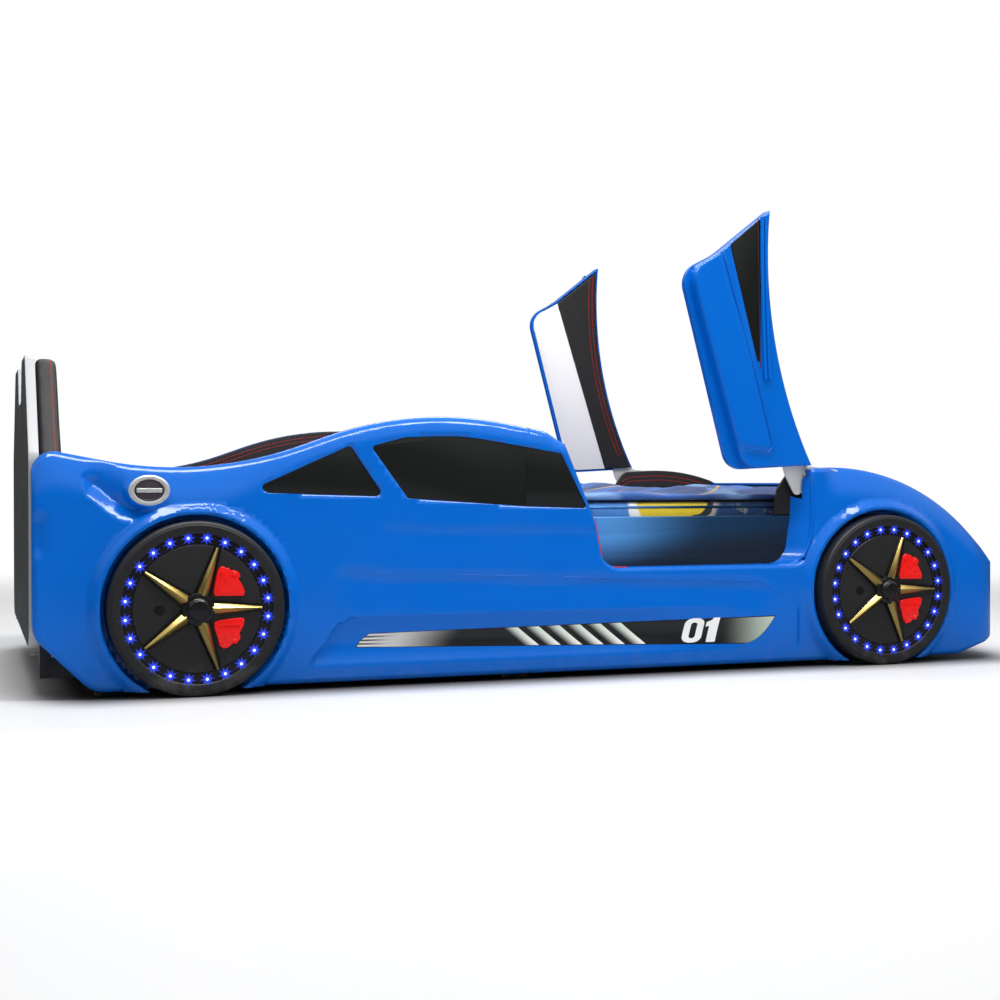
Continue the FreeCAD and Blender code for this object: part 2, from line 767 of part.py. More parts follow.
def headboard():
    whole = front_slab(headboard_line, board_back, board_front)
    wire = rounded_wire([(Vec(board_back, y, z), radius) for y, z, radius in headboard_line])
    board = Part.Face(wire).makeOffset2D(-edge_band).extrude(Vec(board_thickness, 0, 0))
    band = whole.cut(board)
    holes = corner_holes()
    board = drill(board, holes + [mirrored(hole) for hole in holes])
    pad = front_slab(headboard_line, board_front + soft_gap, pad_front)
    pad = pad.common(box((board_back, 0), (outer_y, body_half), (rail_top + lining_drop, above)))
    front_edges = edges_on_plane(pad, "X", pad_front)
    pad = pad.makeFillet(pad_round, front_edges)
    return board, band, pad


# ---------------------------------------------------------------- frame under the mattress
slat_top = 200.0
slat_bottom = slat_top - slat_thickness
foot_board_back = nose_start - foot_board_thickness
foot_board_top = 415.0
beam_height = 40.0
beam_half = 20.0
leg_radius = 20.0
foot_xs = (board_front + 135, seam_x - 20.5, nose_start - 204)
leg_xs = [board_front + (foot_board_back - board_front) * share for share in (0.19, 0.5, 0.81)]
foot_half = 30.0
bracket_leg = 40.0
bracket_wall = 3.0
bracket_low = 64.0
bracket_high = 148.0
bolt_radius = 3.0
bolt_clearance = 0.1
bolt_head_radius = 6.5
bolt_head_height = 3.0
wheel_bolt_circle = 110.0
wheel_bolt_angles = (55, 90, 125)
wheel_bolt_grip = 20.0  # how far a bolt reaches into the wheel


def wheel_bolt_places():
    found = []
    for x in wheel_xs.values():
        for angle in wheel_bolt_angles:
            turn = math.radians(angle)
            across = wheel_bolt_circle * math.cos(turn)
            found.append(Vec(x + across, rail_y, wheel_radius + wheel_bolt_circle * math.sin(turn)))
    return found


def corner_bolt_places():
    # (point on the bracket's inner face, direction into the wood)
    found = []
    for x, ahead in ((board_front, 1), (foot_board_back, -1)):
        for z in (bracket_low + 20, bracket_high - 20):
            found.append((Vec(x + ahead * bracket_leg * 0.6, rail_y + bracket_wall, z), Vec(0, -1, 0)))
            found.append((Vec(x + ahead * bracket_wall, rail_y + bracket_leg * 0.6, z), Vec(-ahead, 0, 0)))
    return found


def bolt(seat, direction, length):
    shank = Part.makeCylinder(bolt_radius, length, seat, direction)
    head = Part.makeCylinder(bolt_head_radius, bolt_head_height, seat - direction * bolt_head_height, direction)
    return shank.fuse(head)


def bolt_hole(seat, direction, length):
    return Part.makeCylinder(bolt_radius + bolt_clearance, length + 2, seat - direction, direction)


wheel_bolt_length = rail_thickness + arch_floor + wheel_bolt_grip


def wheel_bolts():
    # from inside the rail, through the shell's wheel well and into the wheel
    return [bolt(seat, Vec(0, -1, 0), wheel_bolt_length) for seat in wheel_bolt_places()]


def wheel_bolt_holes():
    return [bolt_hole(seat, Vec(0, -1, 0), wheel_bolt_length) for seat in wheel_bolt_places()]


def drill(shape, holes):
    for hole in holes:
        shape = shape.cut(hole)
    return shape


def corner_depth(direction):
    # how far a corner bolt reaches: through the bracket and into the wood
    wood = rail_thickness if abs(direction.y) > 0.5 else foot_board_thickness
    return bracket_wall + wood


def corner_holes():
    return [bolt_hole(seat, direction, corner_depth(direction)) for seat, direction in corner_bolt_places()]


def corner_bolts():
    return [bolt(seat, direction, corner_depth(direction)) for seat, direction in corner_bolt_places()]


def corner_brackets():
    found = []
    for x, ahead in ((board_front, 1), (foot_board_back, -1)):
        span = sorted((x, x + ahead * bracket_leg))
        thin = sorted((x, x + ahead * bracket_wall))
        along = box(span, (rail_y, rail_y + bracket_wall), (bracket_low, bracket_high))
        across = box(thin, (rail_y, rail_y + bracket_leg), (bracket_low, bracket_high))
        found.append(drill(along.fuse(across), corner_holes()).removeSplitter())
    return found


def side_rail():
    rail = box((board_front, nose_start), (inner_y, rail_y), (rail_bottom, rail_top))
    top_edges = [edge for edge in edges_on_plane(rail, "Z", rail_top) if edge.BoundBox.XLength > 100]
    rail = rail.makeFillet(3, top_edges)
    return drill(rail, wheel_bolt_holes() + corner_holes())


def foot_board():
    board = box((foot_board_back, nose_start), (rail_y, -rail_y), (rail_bottom, foot_board_top))
    upright = [edge for edge in edges_on_plane(board, "Z", foot_board_top) if edge.BoundBox.YLength > 100]
    board = board.makeFillet(4, upright)
    holes = corner_holes()
    return drill(board, holes + [mirrored(hole) for hole in holes])


def slats():
    first = board_front + 60
    last = foot_board_back - 60 - slat_width
    step = (last - first) / (slat_count - 1)
    span = (rail_y + 4, -rail_y - 4)
    return [box((first + step * index, first + step * index + slat_width), span, (slat_bottom, slat_top))
            for index in range(slat_count)]


def slat_bearers():
    bearer = box((board_front + bracket_wall, foot_board_back - bracket_wall), (rail_y, rail_y + bearer_size),
                 (slat_bottom - bearer_size, slat_bottom))
    return both_sides([bearer])


def centre_beam():
    return box((board_front, foot_board_back), (-beam_half, beam_half), (slat_bottom - beam_height, slat_bottom))


def centre_legs():
    found = []
    for x in leg_xs:
        leg = Part.makeCylinder(leg_radius, slat_bottom - beam_height, Vec(x, 0, 0))
        found.append(leg.fuse(Part.makeCylinder(leg_radius + 8, 6, Vec(x, 0, 0))))
    return found


def rail_feet():
    found = []
    for x in foot_xs:
        block = box((x - foot_half, x + foot_half), (inner_y, rail_y + 24), (0, rail_bottom))
        tab = box((x - foot_half, x + foot_half), (rail_y, rail_y + 16), (rail_bottom, rail_bottom + 20))
        found.append(block.fuse(tab).removeSplitter())
    return both_sides(found)


def lamp_control_box():
    start = rear_wheel_x + 238.5
    case = box((start, start + 120), (rail_y, rail_y + 28), (84, 144))
    outer_edges = edges_on_plane(case, "Y", rail_y + 28)
    case = case.makeFillet(4, outer_edges)
    socket = Part.makeCylinder(4, 6, Vec(start + 115, rail_y + 14, 114), Vec(1, 0, 0))
    return case.cut(socket)


# ---------------------------------------------------------------- bedding
mattress_start = pad_front + mattress_head_gap
mattress_round = 22.0
wave_count = 8
wave_depth = 7.0


def mattress():
    low = slat_top + soft_gap
    block = box((mattress_start, mattress_start + mattress_length), (-mattress_width / 2, mattress_width / 2),
                (low, low + mattress_thickness))
    rims = edges_on_plane(block, "Z", low) + edges_on_plane(block, "Z", low + mattress_thickness)
    return block.makeFillet(mattress_round, rims)


def quilt():
    # its top swells and dips along the bed
    low = slat_top + mattress_thickness + soft_gap * 2
    start = mattress_start + mattress_round
    stop = mattress_start + mattress_length - mattress_round
    pitch = (stop - start) / wave_count
    line = [(start, low, 0), (start, low + quilt_thickness, 8)]
    for index in range(wave_count):
        line.append((start + pitch * (index + 0.5), low + quilt_thickness + wave_depth, 190))
        if index < wave_count - 1:
            line.append((start + pitch * (index + 1), low + quilt_thickness - wave_depth / 2, 190))
    line.append((stop, low + quilt_thickness, 8))
    line.append((stop, low, 0))
    half = mattress_width / 2 - mattress_round
    return side_slab(line, -half, half)


# ---------------------------------------------------------------- write every part
os.makedirs("parts", exist_ok=True)

shell = drill(side_shell(), wheel_bolt_holes())
save_pair("side_shell_rear", shell.common(box((-nose_x - beyond, seam_x), (-body_half - beyond, 0), (-beyond, above))))
save_pair("side_shell_front", shell.common(box((seam_x, nose_x + beyond), (-body_half - beyond, 0), (-beyond, above))))
for name, panel in zip(("quarter_window", "side_window_rear", "side_window_front"), windows()):
    save_pair(name, panel)
save_pair("filler_cap", filler_cap())

for name, x in wheel_xs.items():
    save_pair(f"wheel_{name}", drill(wheel(x), wheel_bolt_holes()))
    save_pair(f"spokes_{name}", spoke_star(x))
xs = list(wheel_xs.values())
save("light_rings", both_sides([light_ring(x) for x in xs]))
save("wheel_lamps", both_sides([lamp for x in xs for lamp in lamps(x)]))
save("hub_caps", both_sides([hub_cap(x) for x in xs]))
save("brake_calipers", both_sides([caliper for x in xs for caliper in calipers(x)]))
save("wheel_bolts", both_sides(wheel_bolts()))

save_pair("quarter_lining", quarter_lining())
save_pair("fender_lining", fender_lining())

card, trim = door_card_and_trim()
save_pair("door_shell", raised(door_shell()))
save_pair("door_window", raised(inset_slab(door_window, window_clearance, outer_y, outer_y + door_window_pocket)))
save_pair("door_card", raised(card))
save_pair("door_trim", raised(trim))
save_pair("hinge_arm", hinge_arm())
save("hinge_brackets", both_sides([hinge_bracket()]))
save("hinge_pins", both_sides([hinge_pin()]))

nose, headlamps, grille = nose_parts()
save("nose_shell", nose)
save("headlamps", headlamps)
save("grille", grille)

board, band, pad = headboard()
save("headboard_panel", board)
save("headboard_edge", band)
save("headboard_pad", pad)

save_pair("side_rail", side_rail())
save("foot_board", foot_board())
save("centre_beam", centre_beam())
save("centre_legs", centre_legs())
save("slat_bearers", slat_bearers())
save("slats", slats())
save("rail_feet", rail_feet())
save("corner_brackets", both_sides(corner_brackets()))
save("corner_bolts", both_sides(corner_bolts()))
save("lamp_control_box", lamp_control_box())
save("mattress", mattress())
save("quilt", quilt())
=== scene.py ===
import bpy
import bmesh
import json
from math import cos, hypot, pi, radians, sin
from mathutils import Matrix, Vector
from mathutils.bvhtree import BVHTree
from mathutils.noise import noise


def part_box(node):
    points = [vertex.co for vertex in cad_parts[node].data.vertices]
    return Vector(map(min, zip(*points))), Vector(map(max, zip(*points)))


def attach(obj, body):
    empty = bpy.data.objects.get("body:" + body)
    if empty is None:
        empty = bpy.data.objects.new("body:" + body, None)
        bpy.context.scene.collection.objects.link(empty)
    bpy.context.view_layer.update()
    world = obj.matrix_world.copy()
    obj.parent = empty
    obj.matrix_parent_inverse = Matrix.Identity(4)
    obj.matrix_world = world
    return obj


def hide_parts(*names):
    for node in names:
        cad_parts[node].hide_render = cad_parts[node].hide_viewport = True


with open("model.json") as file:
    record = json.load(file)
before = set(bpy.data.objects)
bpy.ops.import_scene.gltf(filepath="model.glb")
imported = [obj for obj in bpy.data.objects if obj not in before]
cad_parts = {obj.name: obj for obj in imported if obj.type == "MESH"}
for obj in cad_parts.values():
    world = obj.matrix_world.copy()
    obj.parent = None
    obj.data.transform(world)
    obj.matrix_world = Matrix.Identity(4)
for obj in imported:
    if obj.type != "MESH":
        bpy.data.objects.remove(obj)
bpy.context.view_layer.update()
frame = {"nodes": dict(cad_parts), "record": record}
nodes = frame["nodes"]
scene = bpy.context.scene
ops = bmesh.ops
print("frame loaded:", len(nodes), "nodes")

# places shared by the pieces, in metres: x to the nose, -y is the right-hand side, z up
car = {
    "faceY": -0.516, "backY": -0.472, "wheelZ": 0.175, "wheelX": (-0.8385, 0.7575),
    "tyreRadius": 0.175, "tyreY": -0.554, "pivot": (0.574, 0.453), "doorAngle": radians(75),
}
sides = {"right": -1, "left": 1}


# small helpers for meshes
def newPiece(name, bm, body, slotName, mat, smooth=40, replaced=()):
    mesh = bpy.data.meshes.new(name)
    bm.to_mesh(mesh)
    bm.free()
    piece = bpy.data.objects.new(name, mesh)
    scene.collection.objects.link(piece)
    for each in (mat if isinstance(mat, (list, tuple)) else [mat]):
        mesh.materials.append(each)
    for face in mesh.polygons:
        face.use_smooth = smooth > 0
    if smooth > 0:
        mesh.set_sharp_from_angle(angle=radians(smooth))
    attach(piece, body)
    if replaced:
        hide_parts(*replaced)
    return piece


def addModifier(piece, kind, **values):
    modifier = piece.modifiers.new(kind.lower(), kind)
    for key, value in values.items():
        setattr(modifier, key, value)
    return modifier


def bevelled(bm, geom, offset, segments, affect="EDGES", **more):
    # a bevel with the editor's own settings
    ops.bevel(bm, geom=geom, offset=offset, segments=segments, affect=affect, profile=0.5, material=-1,
              **more)


def sharpEdges(bm, least=38):
    return [e for e in bm.edges if e.is_manifold and e.calc_face_angle() > radians(least)]


def vertsOf(geom):
    return [each for each in geom if isinstance(each, bmesh.types.BMVert)]


def addBox(bm, middle, size):
    ops.create_cube(bm, size=1.0, matrix=Matrix.Translation(middle) @ Matrix.Diagonal((*size, 1)))


def addStud(bm, middle, radius, tip, tall, segments):
    # a low cone that points sideways
    ops.create_cone(bm, cap_ends=True, segments=segments, radius1=radius, radius2=tip, depth=tall,
                    matrix=Matrix.Translation(middle) @ Matrix.Rotation(pi / 2, 4, "X"))


def copyOfNode(*names):
    # a node's mesh with its loose triangles merged, flat areas as single faces
    bm = bmesh.new()
    for name in names:
        bm.from_mesh(nodes[name].data)
    ops.remove_doubles(bm, verts=bm.verts, dist=1e-5)
    ops.dissolve_limit(bm, angle_limit=radians(0.6), verts=bm.verts, edges=bm.edges)
    for face in bm.faces:
        face.material_index = 0
    return bm


def gridCut(bm, axis, start, stop, step):
    # cuts square to an axis, so that a flat area can be shaped
    count = int(round((stop - start) / step))
    normal = Vector([1 if index == axis else 0 for index in range(3)])
    for index in range(count + 1):
        where = normal * (start + step * index)
        ops.bisect_plane(bm, geom=bm.verts[:] + bm.edges[:] + bm.faces[:], dist=1e-6,
                         plane_co=where, plane_no=normal)


def mirrored(bm, side):
    # the left-hand side is drawn as the right-hand one and mirrored
    if side == "left":
        ops.transform(bm, matrix=Matrix.Scale(-1, 4, (0, 1, 0)), verts=bm.verts)
        ops.reverse_faces(bm, faces=bm.faces)
    return bm


def sidePiece(kind, side, bm, *where, **settings):
    return newPiece(kind + side.capitalize(), mirrored(bm, side), *where, **settings)


def blendStep(value, low, high):
    t = min(1.0, max(0.0, (value - low) / (high - low)))
    return t * t * (3 - 2 * t)


def along(points, value):
    # height of a line through (x, z) points, straight between them
    if value <= points[0][0]:
        return points[0][1]
    for (x0, z0), (x1, z1) in zip(points, points[1:]):
        if value <= x1:
            return z0 + (z1 - z0) * (value - x0) / (x1 - x0)
    return points[-1][1]


def lineMesh(points, radius=0.0, order=3, steps=8, rings=2):
    # a smooth line led by the points, round when it is given a radius
    curve = bpy.data.curves.new("line", "CURVE")
    curve.dimensions = "3D"
    curve.resolution_u = steps
    curve.bevel_depth = radius
    curve.bevel_resolution = rings
    curve.use_fill_caps = True
    spline = curve.splines.new("NURBS")
    spline.points.add(len(points) - 1)
    for point, place in zip(spline.points, points):
        point.co = (*place, 1)
    spline.order_u = min(order, len(points))
    spline.use_endpoint_u = True
    holder = bpy.data.objects.new("line", curve)
    mesh = bpy.data.meshes.new_from_object(holder)
    bpy.data.objects.remove(holder)
    bpy.data.curves.remove(curve)
    return mesh


def addTube(bm, points, radius, **settings):
    mesh = lineMesh(points, radius, **settings)
    tube = bmesh.new()
    tube.from_mesh(mesh)
    bpy.data.meshes.remove(mesh)
    ops.remove_doubles(tube, verts=tube.verts, dist=1e-6)
    ops.recalc_face_normals(tube, faces=tube.faces)
    joined(bm, tube)


def smoothLine(points):
    mesh = lineMesh(points)
    places = [v.co.copy() for v in mesh.vertices]
    bpy.data.meshes.remove(mesh)
    return places


def joined(bm, other):
    mesh = bpy.data.meshes.new("joined")
    other.to_mesh(mesh)
    other.free()
    bm.from_mesh(mesh)
    bpy.data.meshes.remove(mesh)


def addStitches(bm, places, pitch=0.0078, length=0.0056, thick=0.0012):
    # a run of short threads along a line
    run = pitch / 2
    for start, stop in zip(places, places[1:]):
        gap = (stop - start).length
        while run < gap:
            turn = (stop - start).to_track_quat("X", "Z").to_matrix().to_4x4()
            shape = Matrix.Diagonal((length / 2, thick / 2, thick / 2, 1))
            ops.create_uvsphere(bm, u_segments=6, v_segments=4, radius=1.0,
                                matrix=Matrix.Translation(start.lerp(stop, run / gap)) @ turn @ shape)
            run += pitch
        run -= gap


def sectionLoop(bm, place, normal):
    # the outline where a plane cuts a mesh, in order from its lowest edge
    cut = ops.bisect_plane(bm, geom=bm.verts[:] + bm.edges[:] + bm.faces[:], dist=1e-6,
                           plane_co=place, plane_no=normal)["geom_cut"]
    found = [each for each in cut if isinstance(each, bmesh.types.BMEdge)]
    first = min(found, key=lambda e: e.verts[0].co.z)
    edges = set(found) - {first}
    here = first.verts[1]
    loop = [first.verts[0].co.copy(), here.co.copy()]
    while True:
        following = next((e for e in here.link_edges if e in edges), None)
        if following is None:
            return loop
        edges.discard(following)
        here = following.other_vert(here)
        loop.append(here.co.copy())


def topLine(bm, start, stop, step):
    # the upper outline of a flat sheet, as (x, z) points
    gridCut(bm, 0, start, stop, step)
    line = []
    for index in range(int(round((stop - start) / step)) + 1):
        x = start + step * index
        heights = [v.co.z for v in bm.verts if abs(v.co.x - x) < 1e-5]
        if heights:
            line.append((x, max(heights)))
    return line


class Graph:
    # a node tree with short calls for the nodes that the finishes use
    def __init__(self, tree):
        self.tree = tree

    def add(self, kind, values=None, **settings):
        node = self.tree.nodes.new("ShaderNode" + kind)
        for key, value in settings.items():
            setattr(node, key, value)
        for key, value in (values or {}).items():
            self.feed(node, key, value)
        return node

    def feed(self, node, key, value):
        socket = node.inputs[key]
        if isinstance(value, bpy.types.NodeSocket):
            self.tree.links.new(value, socket)
        else:
            socket.default_value = value

    def math(self, operation, first, second=0.0, third=0.0, clamp=False):
        node = self.add("Math", {0: first, 1: second, 2: third}, operation=operation, use_clamp=clamp)
        return node.outputs[0]

    def times(self, first, second):
        return self.math("MULTIPLY", first, second)

    def plus(self, first, second, clamp=False):
        return self.math("ADD", first, second, clamp=clamp)

    def minus(self, first, second, clamp=False):
        return self.math("SUBTRACT", first, second, clamp=clamp)

    def mix(self, amount, first, second):
        node = self.add("Mix", data_type="RGBA")
        for key, value in ((0, amount), (6, first), (7, second)):
            self.feed(node, key, value)
        return node.outputs[2]

    def ramp(self, value, low, high, least=0.0, most=1.0):
        reach = {0: value, 1: low, 2: high, 3: least, 4: most}
        return self.add("MapRange", reach, interpolation_type="SMOOTHSTEP").outputs[0]

    def shade(self, colour, value):
        return self.add("HueSaturation", {"Color": colour, "Value": value}).outputs[0]

    def noise(self, place, scale, detail=3.0, roughness=0.5):
        return self.add("TexNoise", {
            "Vector": place, "Scale": scale, "Detail": detail, "Roughness": roughness}).outputs[0]

    def place(self):
        return self.add("TexCoord").outputs["Object"]

    def split(self, place):
        return self.add("SeparateXYZ", {0: place}).outputs[:]

    def join(self, x, y, z):
        return self.add("CombineXYZ", {0: x, 1: y, 2: z}).outputs[0]

    def bump(self, height, strength, distance):
        node = self.add("Bump", {"Height": height, "Strength": strength, "Distance": distance})
        return node.outputs[0]

    def far(self, across, up):
        return self.math("SQRT", self.plus(self.times(across, across), self.times(up, up)))

    def scaled(self, place, factors):
        return self.add("VectorMath", {0: place, 1: factors}, operation="MULTIPLY").outputs[0]

    def send(self, out, **values):
        # joins values to a group's outputs
        for key, value in values.items():
            self.tree.links.new(value, out[key])
        return self.tree

    def dress(self, shader, skin, strength, distance=0.0005):
        # puts a finish group on the shader
        for key, name in (("Base Color", "Colour"), ("Roughness", "Roughness")):
            if name in skin.outputs:
                self.feed(shader, key, skin.outputs[name])
        self.feed(shader, "Normal", self.bump(skin.outputs["Height"], strength, distance))

    def group(self, tree, values):
        node = self.tree.nodes.new("ShaderNodeGroup")
        node.node_tree = tree
        for key, value in values.items():
            self.feed(node, key, value)
        return node


# camera, lights and world
view = {"place": (-1.2741, -3.5562, 0.4250), "yaw": 19.605, "pitch": -0.655, "lens": 54.18}
cameraData = bpy.data.cameras.new("camera")
cameraData.lens = view["lens"]
cameraData.sensor_width = 36
cameraData.clip_end = 200
camera = bpy.data.objects.new("camera", cameraData)
scene.collection.objects.link(camera)
camera.location = view["place"]
camera.rotation_euler = (radians(90 + view["pitch"]), 0, radians(-view["yaw"]))
scene.camera = camera
scene.view_settings.view_transform = "Standard"

lamps = {
    "overhead": {"place": (0.0, -0.2, 3.4), "aim": (0, 0, 0.2), "size": (4.6, 2.6), "power": 47},
    "stripNear": {"place": (-0.3, -1.1, 2.6), "aim": (-0.2, -0.5, 0.4), "size": (3.0, 0.42), "power": 64,
                  "shows": True},
    "stripFar": {"place": (0.3, 1.3, 2.6), "aim": (0.2, 0.5, 0.4), "size": (3.0, 0.30), "power": 30,
                 "shows": True},
    "front": {"place": (0.7, -4.4, 2.9), "aim": (0, -0.4, 0.3), "size": (3.0, 2.2), "power": 43},
    "nose": {"place": (4.2, -2.2, 2.2), "aim": (0.6, 0, 0.3), "size": (2.0, 2.0), "power": 18},
    "behind": {"place": (0.4, 4.4, 2.6), "aim": (0, 0.2, 0.3), "size": (3.0, 2.0), "power": 32},
}
for name, lamp in lamps.items():
    data = bpy.data.lights.new(name, "AREA")
    data.shape = "RECTANGLE"
    data.size, data.size_y = lamp["size"]
    data.energy = lamp["power"]
    light = bpy.data.objects.new(name, data)
    scene.collection.objects.link(light)
    light.visible_glossy = lamp.get("shows", False)
    light.location = lamp["place"]
    light.rotation_euler = (Vector(lamp["aim"]) - Vector(lamp["place"])).to_track_quat("-Z", "Y").to_euler()


def makeWorld():
    # a white studio for the camera, gloss and glass, and a soft fill for everything else
    world = bpy.data.worlds.new("studio")
    scene.world = world
    world.use_nodes = True
    world.node_tree.nodes.clear()
    g = Graph(world.node_tree)
    rays = g.add("LightPath").outputs
    # upright gloss reflects a dimmer band of the studio than gloss that faces up
    upwards = g.split(g.add("TexCoord").outputs["Generated"])[2]
    onlyGloss = g.minus(rays["Is Glossy Ray"], rays["Is Camera Ray"], clamp=True)
    strength = g.add("Mix", {0: onlyGloss, 2: 1.0, 3: g.ramp(upwards, 0.10, 0.60, 0.05, 0.62)}).outputs[0]
    seen = g.add("Background", {"Color": (1, 1, 1, 1), "Strength": strength})
    fill = g.add("Background", {"Color": (0.96, 0.98, 1.0, 1), "Strength": 0.26})
    shown = g.math("MAXIMUM", rays["Is Camera Ray"], rays["Is Glossy Ray"])
    shown = g.math("MAXIMUM", shown, rays["Is Transmission Ray"])
    choose = g.add("MixShader", {0: shown, 1: fill.outputs[0], 2: seen.outputs[0]})
    g.add("OutputWorld", {0: choose.outputs[0]})


makeWorld()


# node groups and materials
def newGroup(name, ins, outs):
    # ins and outs: (name, socket kind, value)
    tree = bpy.data.node_groups.new(name, "ShaderNodeTree")
    for label, kind, value in ins:
        socket = tree.interface.new_socket(name=label, in_out="INPUT", socket_type="NodeSocket" + kind)
        if value is not None:
            socket.default_value = value
    for label, kind in outs:
        tree.interface.new_socket(name=label, in_out="OUTPUT", socket_type="NodeSocket" + kind)
    graph = Graph(tree)
    return graph, tree.nodes.new("NodeGroupInput").outputs, tree.nodes.new("NodeGroupOutput").inputs


def makeSurfaceWear():
    # uneven sheen, fine grain and a little dust low down, for mouldings and lacquer
    g, given, out = newGroup("surfaceWear", [
        ("Colour", "Color", (0.5, 0.5, 0.5, 1)), ("Roughness", "Float", 0.4), ("Grain", "Float", 400.0),
        ("Tone", "Float", 0.06), ("Dust", "Float", 0.1)],
        [("Colour", "Color"), ("Roughness", "Float"), ("Height", "Float")])
    place = g.place()
    broad = g.noise(place, 3.0, 2.0)
    fine = g.noise(place, given["Grain"], 2.0)
    low = g.minus(1.0, g.ramp(g.split(place)[2], 0.0, 0.09))
    patch = g.ramp(g.noise(place, 26.0, 4.0, 0.65), 0.42, 0.72)
    dusty = g.times(g.times(low, patch), given["Dust"])
    value = g.plus(1.0, g.times(g.minus(broad, 0.5), given["Tone"]))
    shade = g.shade(given["Colour"], value)
    uneven = g.times(g.minus(g.noise(place, 9.0, 4.0), 0.5), 0.16)
    rough = g.plus(given["Roughness"], g.plus(uneven, dusty), clamp=True)
    return g.send(out, Colour=g.mix(dusty, shade, (0.35, 0.34, 0.32, 1)), Roughness=rough, Height=fine)


def makeLeatherGrain():
    # pebbled skin with fine wrinkles
    g, given, out = newGroup("leatherGrain", [
        ("Colour", "Color", (0.02, 0.02, 0.02, 1)), ("Roughness", "Float", 0.42), ("Scale", "Float", 420.0)],
        [("Colour", "Color"), ("Roughness", "Float"), ("Height", "Float")])
    place = g.place()
    wander = g.scaled(g.add("TexNoise", {"Vector": place, "Scale": 60.0}).outputs[1], (0.004, 0.004, 0.004))
    bent = g.add("VectorMath", {0: place, 1: wander}, operation="ADD").outputs[0]
    cells = g.add("TexVoronoi", {"Vector": bent, "Scale": given["Scale"]}, feature="DISTANCE_TO_EDGE")
    pebble = g.ramp(cells.outputs[0], 0.0, 0.22)
    wrinkle = g.noise(place, 55.0, 5.0, 0.6)
    height = g.plus(pebble, g.times(wrinkle, 0.6))
    tone = g.plus(0.82, g.times(pebble, 0.3))
    shade = g.shade(given["Colour"], tone)
    rough = g.plus(given["Roughness"], g.times(g.minus(1.0, pebble), 0.18))
    rough = g.plus(rough, g.times(g.minus(wrinkle, 0.5), 0.2))
    return g.send(out, Colour=shade, Roughness=rough, Height=height)


def makeWeave():
    # plain weave of two crossing threads
    g, given, out = newGroup("weave", [("Scale", "Float", 900.0)], [("Height", "Float"), ("Tone", "Float")])
    x, y, z = g.split(g.place())
    first = g.math("SINE", g.times(g.plus(x, z), given["Scale"]))
    second = g.math("SINE", g.times(g.plus(y, z), given["Scale"]))
    threads = g.times(g.plus(g.times(first, second), 1.0), 0.5)
    fuzz = g.noise(g.place(), 300.0, 3.0)
    height = g.plus(threads, g.times(fuzz, 0.5))
    return g.send(out, Height=height, Tone=g.plus(0.88, g.times(height, 0.16)))


def makeWoodGrain():
    g, given, out = newGroup("woodGrain", [
        ("Light", "Color", (0.62, 0.45, 0.27, 1)), ("Dark", "Color", (0.42, 0.27, 0.14, 1)),
        ("Turn", "Float", 0.0)], [("Colour", "Color"), ("Height", "Float")])
    x, y, z = g.split(g.place())
    lengthways = g.mix(given["Turn"], g.join(x, y, z), g.join(y, x, z))
    stretched = g.scaled(lengthways, (2.0, 26.0, 26.0))
    rings = g.add("TexWave", {"Vector": stretched, "Scale": 1.6, "Distortion": 7.0, "Detail": 3.0}).outputs[1]
    pores = g.noise(g.scaled(lengthways, (30, 900, 900)), 1.0, 3.0)
    colour = g.mix(g.plus(g.times(rings, 0.7), g.times(pores, 0.3)), given["Light"], given["Dark"])
    return g.send(out, Colour=colour, Height=g.minus(pores, g.times(rings, 0.3)))


surfaceWear = makeSurfaceWear()
leatherGrain = makeLeatherGrain()
weave = makeWeave()
woodGrain = makeWoodGrain()


def newMaterial(name, **fixed):
    # fixed values go straight on the shader's own sockets
    mat = bpy.data.materials.new(name)
    mat.use_nodes = True
    g = Graph(mat.node_tree)
    shader = mat.node_tree.nodes["Principled BSDF"]
    for key, value in fixed.items():
        shader.inputs[key.replace("_", " ")].default_value = value
    mat.diffuse_color = (*fixed.get("Base_Color", (0.5, 0.5, 0.5, 1))[:3], 1)
    return mat, g, shader


def moulded(name, colour, roughness, grain=400.0, tone=0.06, dust=0.1, bump=0.03, **fixed):
    # plastic, lacquer or metal with the shared wear
    mat, g, shader = newMaterial(name, Base_Color=(*colour, 1), **fixed)
    g.dress(shader, g.group(surfaceWear, {
        "Colour": (*colour, 1), "Roughness": roughness, "Grain": grain, "Tone": tone, "Dust": dust}), bump)
    return mat


def leather(name, colour, roughness, scale):
    mat, g, shader = newMaterial(name, Base_Color=(*colour, 1), Specular_IOR_Level=0.42)
    skin = g.group(leatherGrain, {"Colour": (*colour, 1), "Roughness": roughness, "Scale": scale})
    g.dress(shader, skin, 0.35, 0.0006)
    return mat


def wood(name, light, dark, turn, roughness):
    mat, g, shader = newMaterial(name, Base_Color=(*light, 1), Roughness=roughness)
    grain = g.group(woodGrain, {"Light": (*light, 1), "Dark": (*dark, 1), "Turn": turn})
    g.dress(shader, grain, 0.12, 0.0006)
    return mat


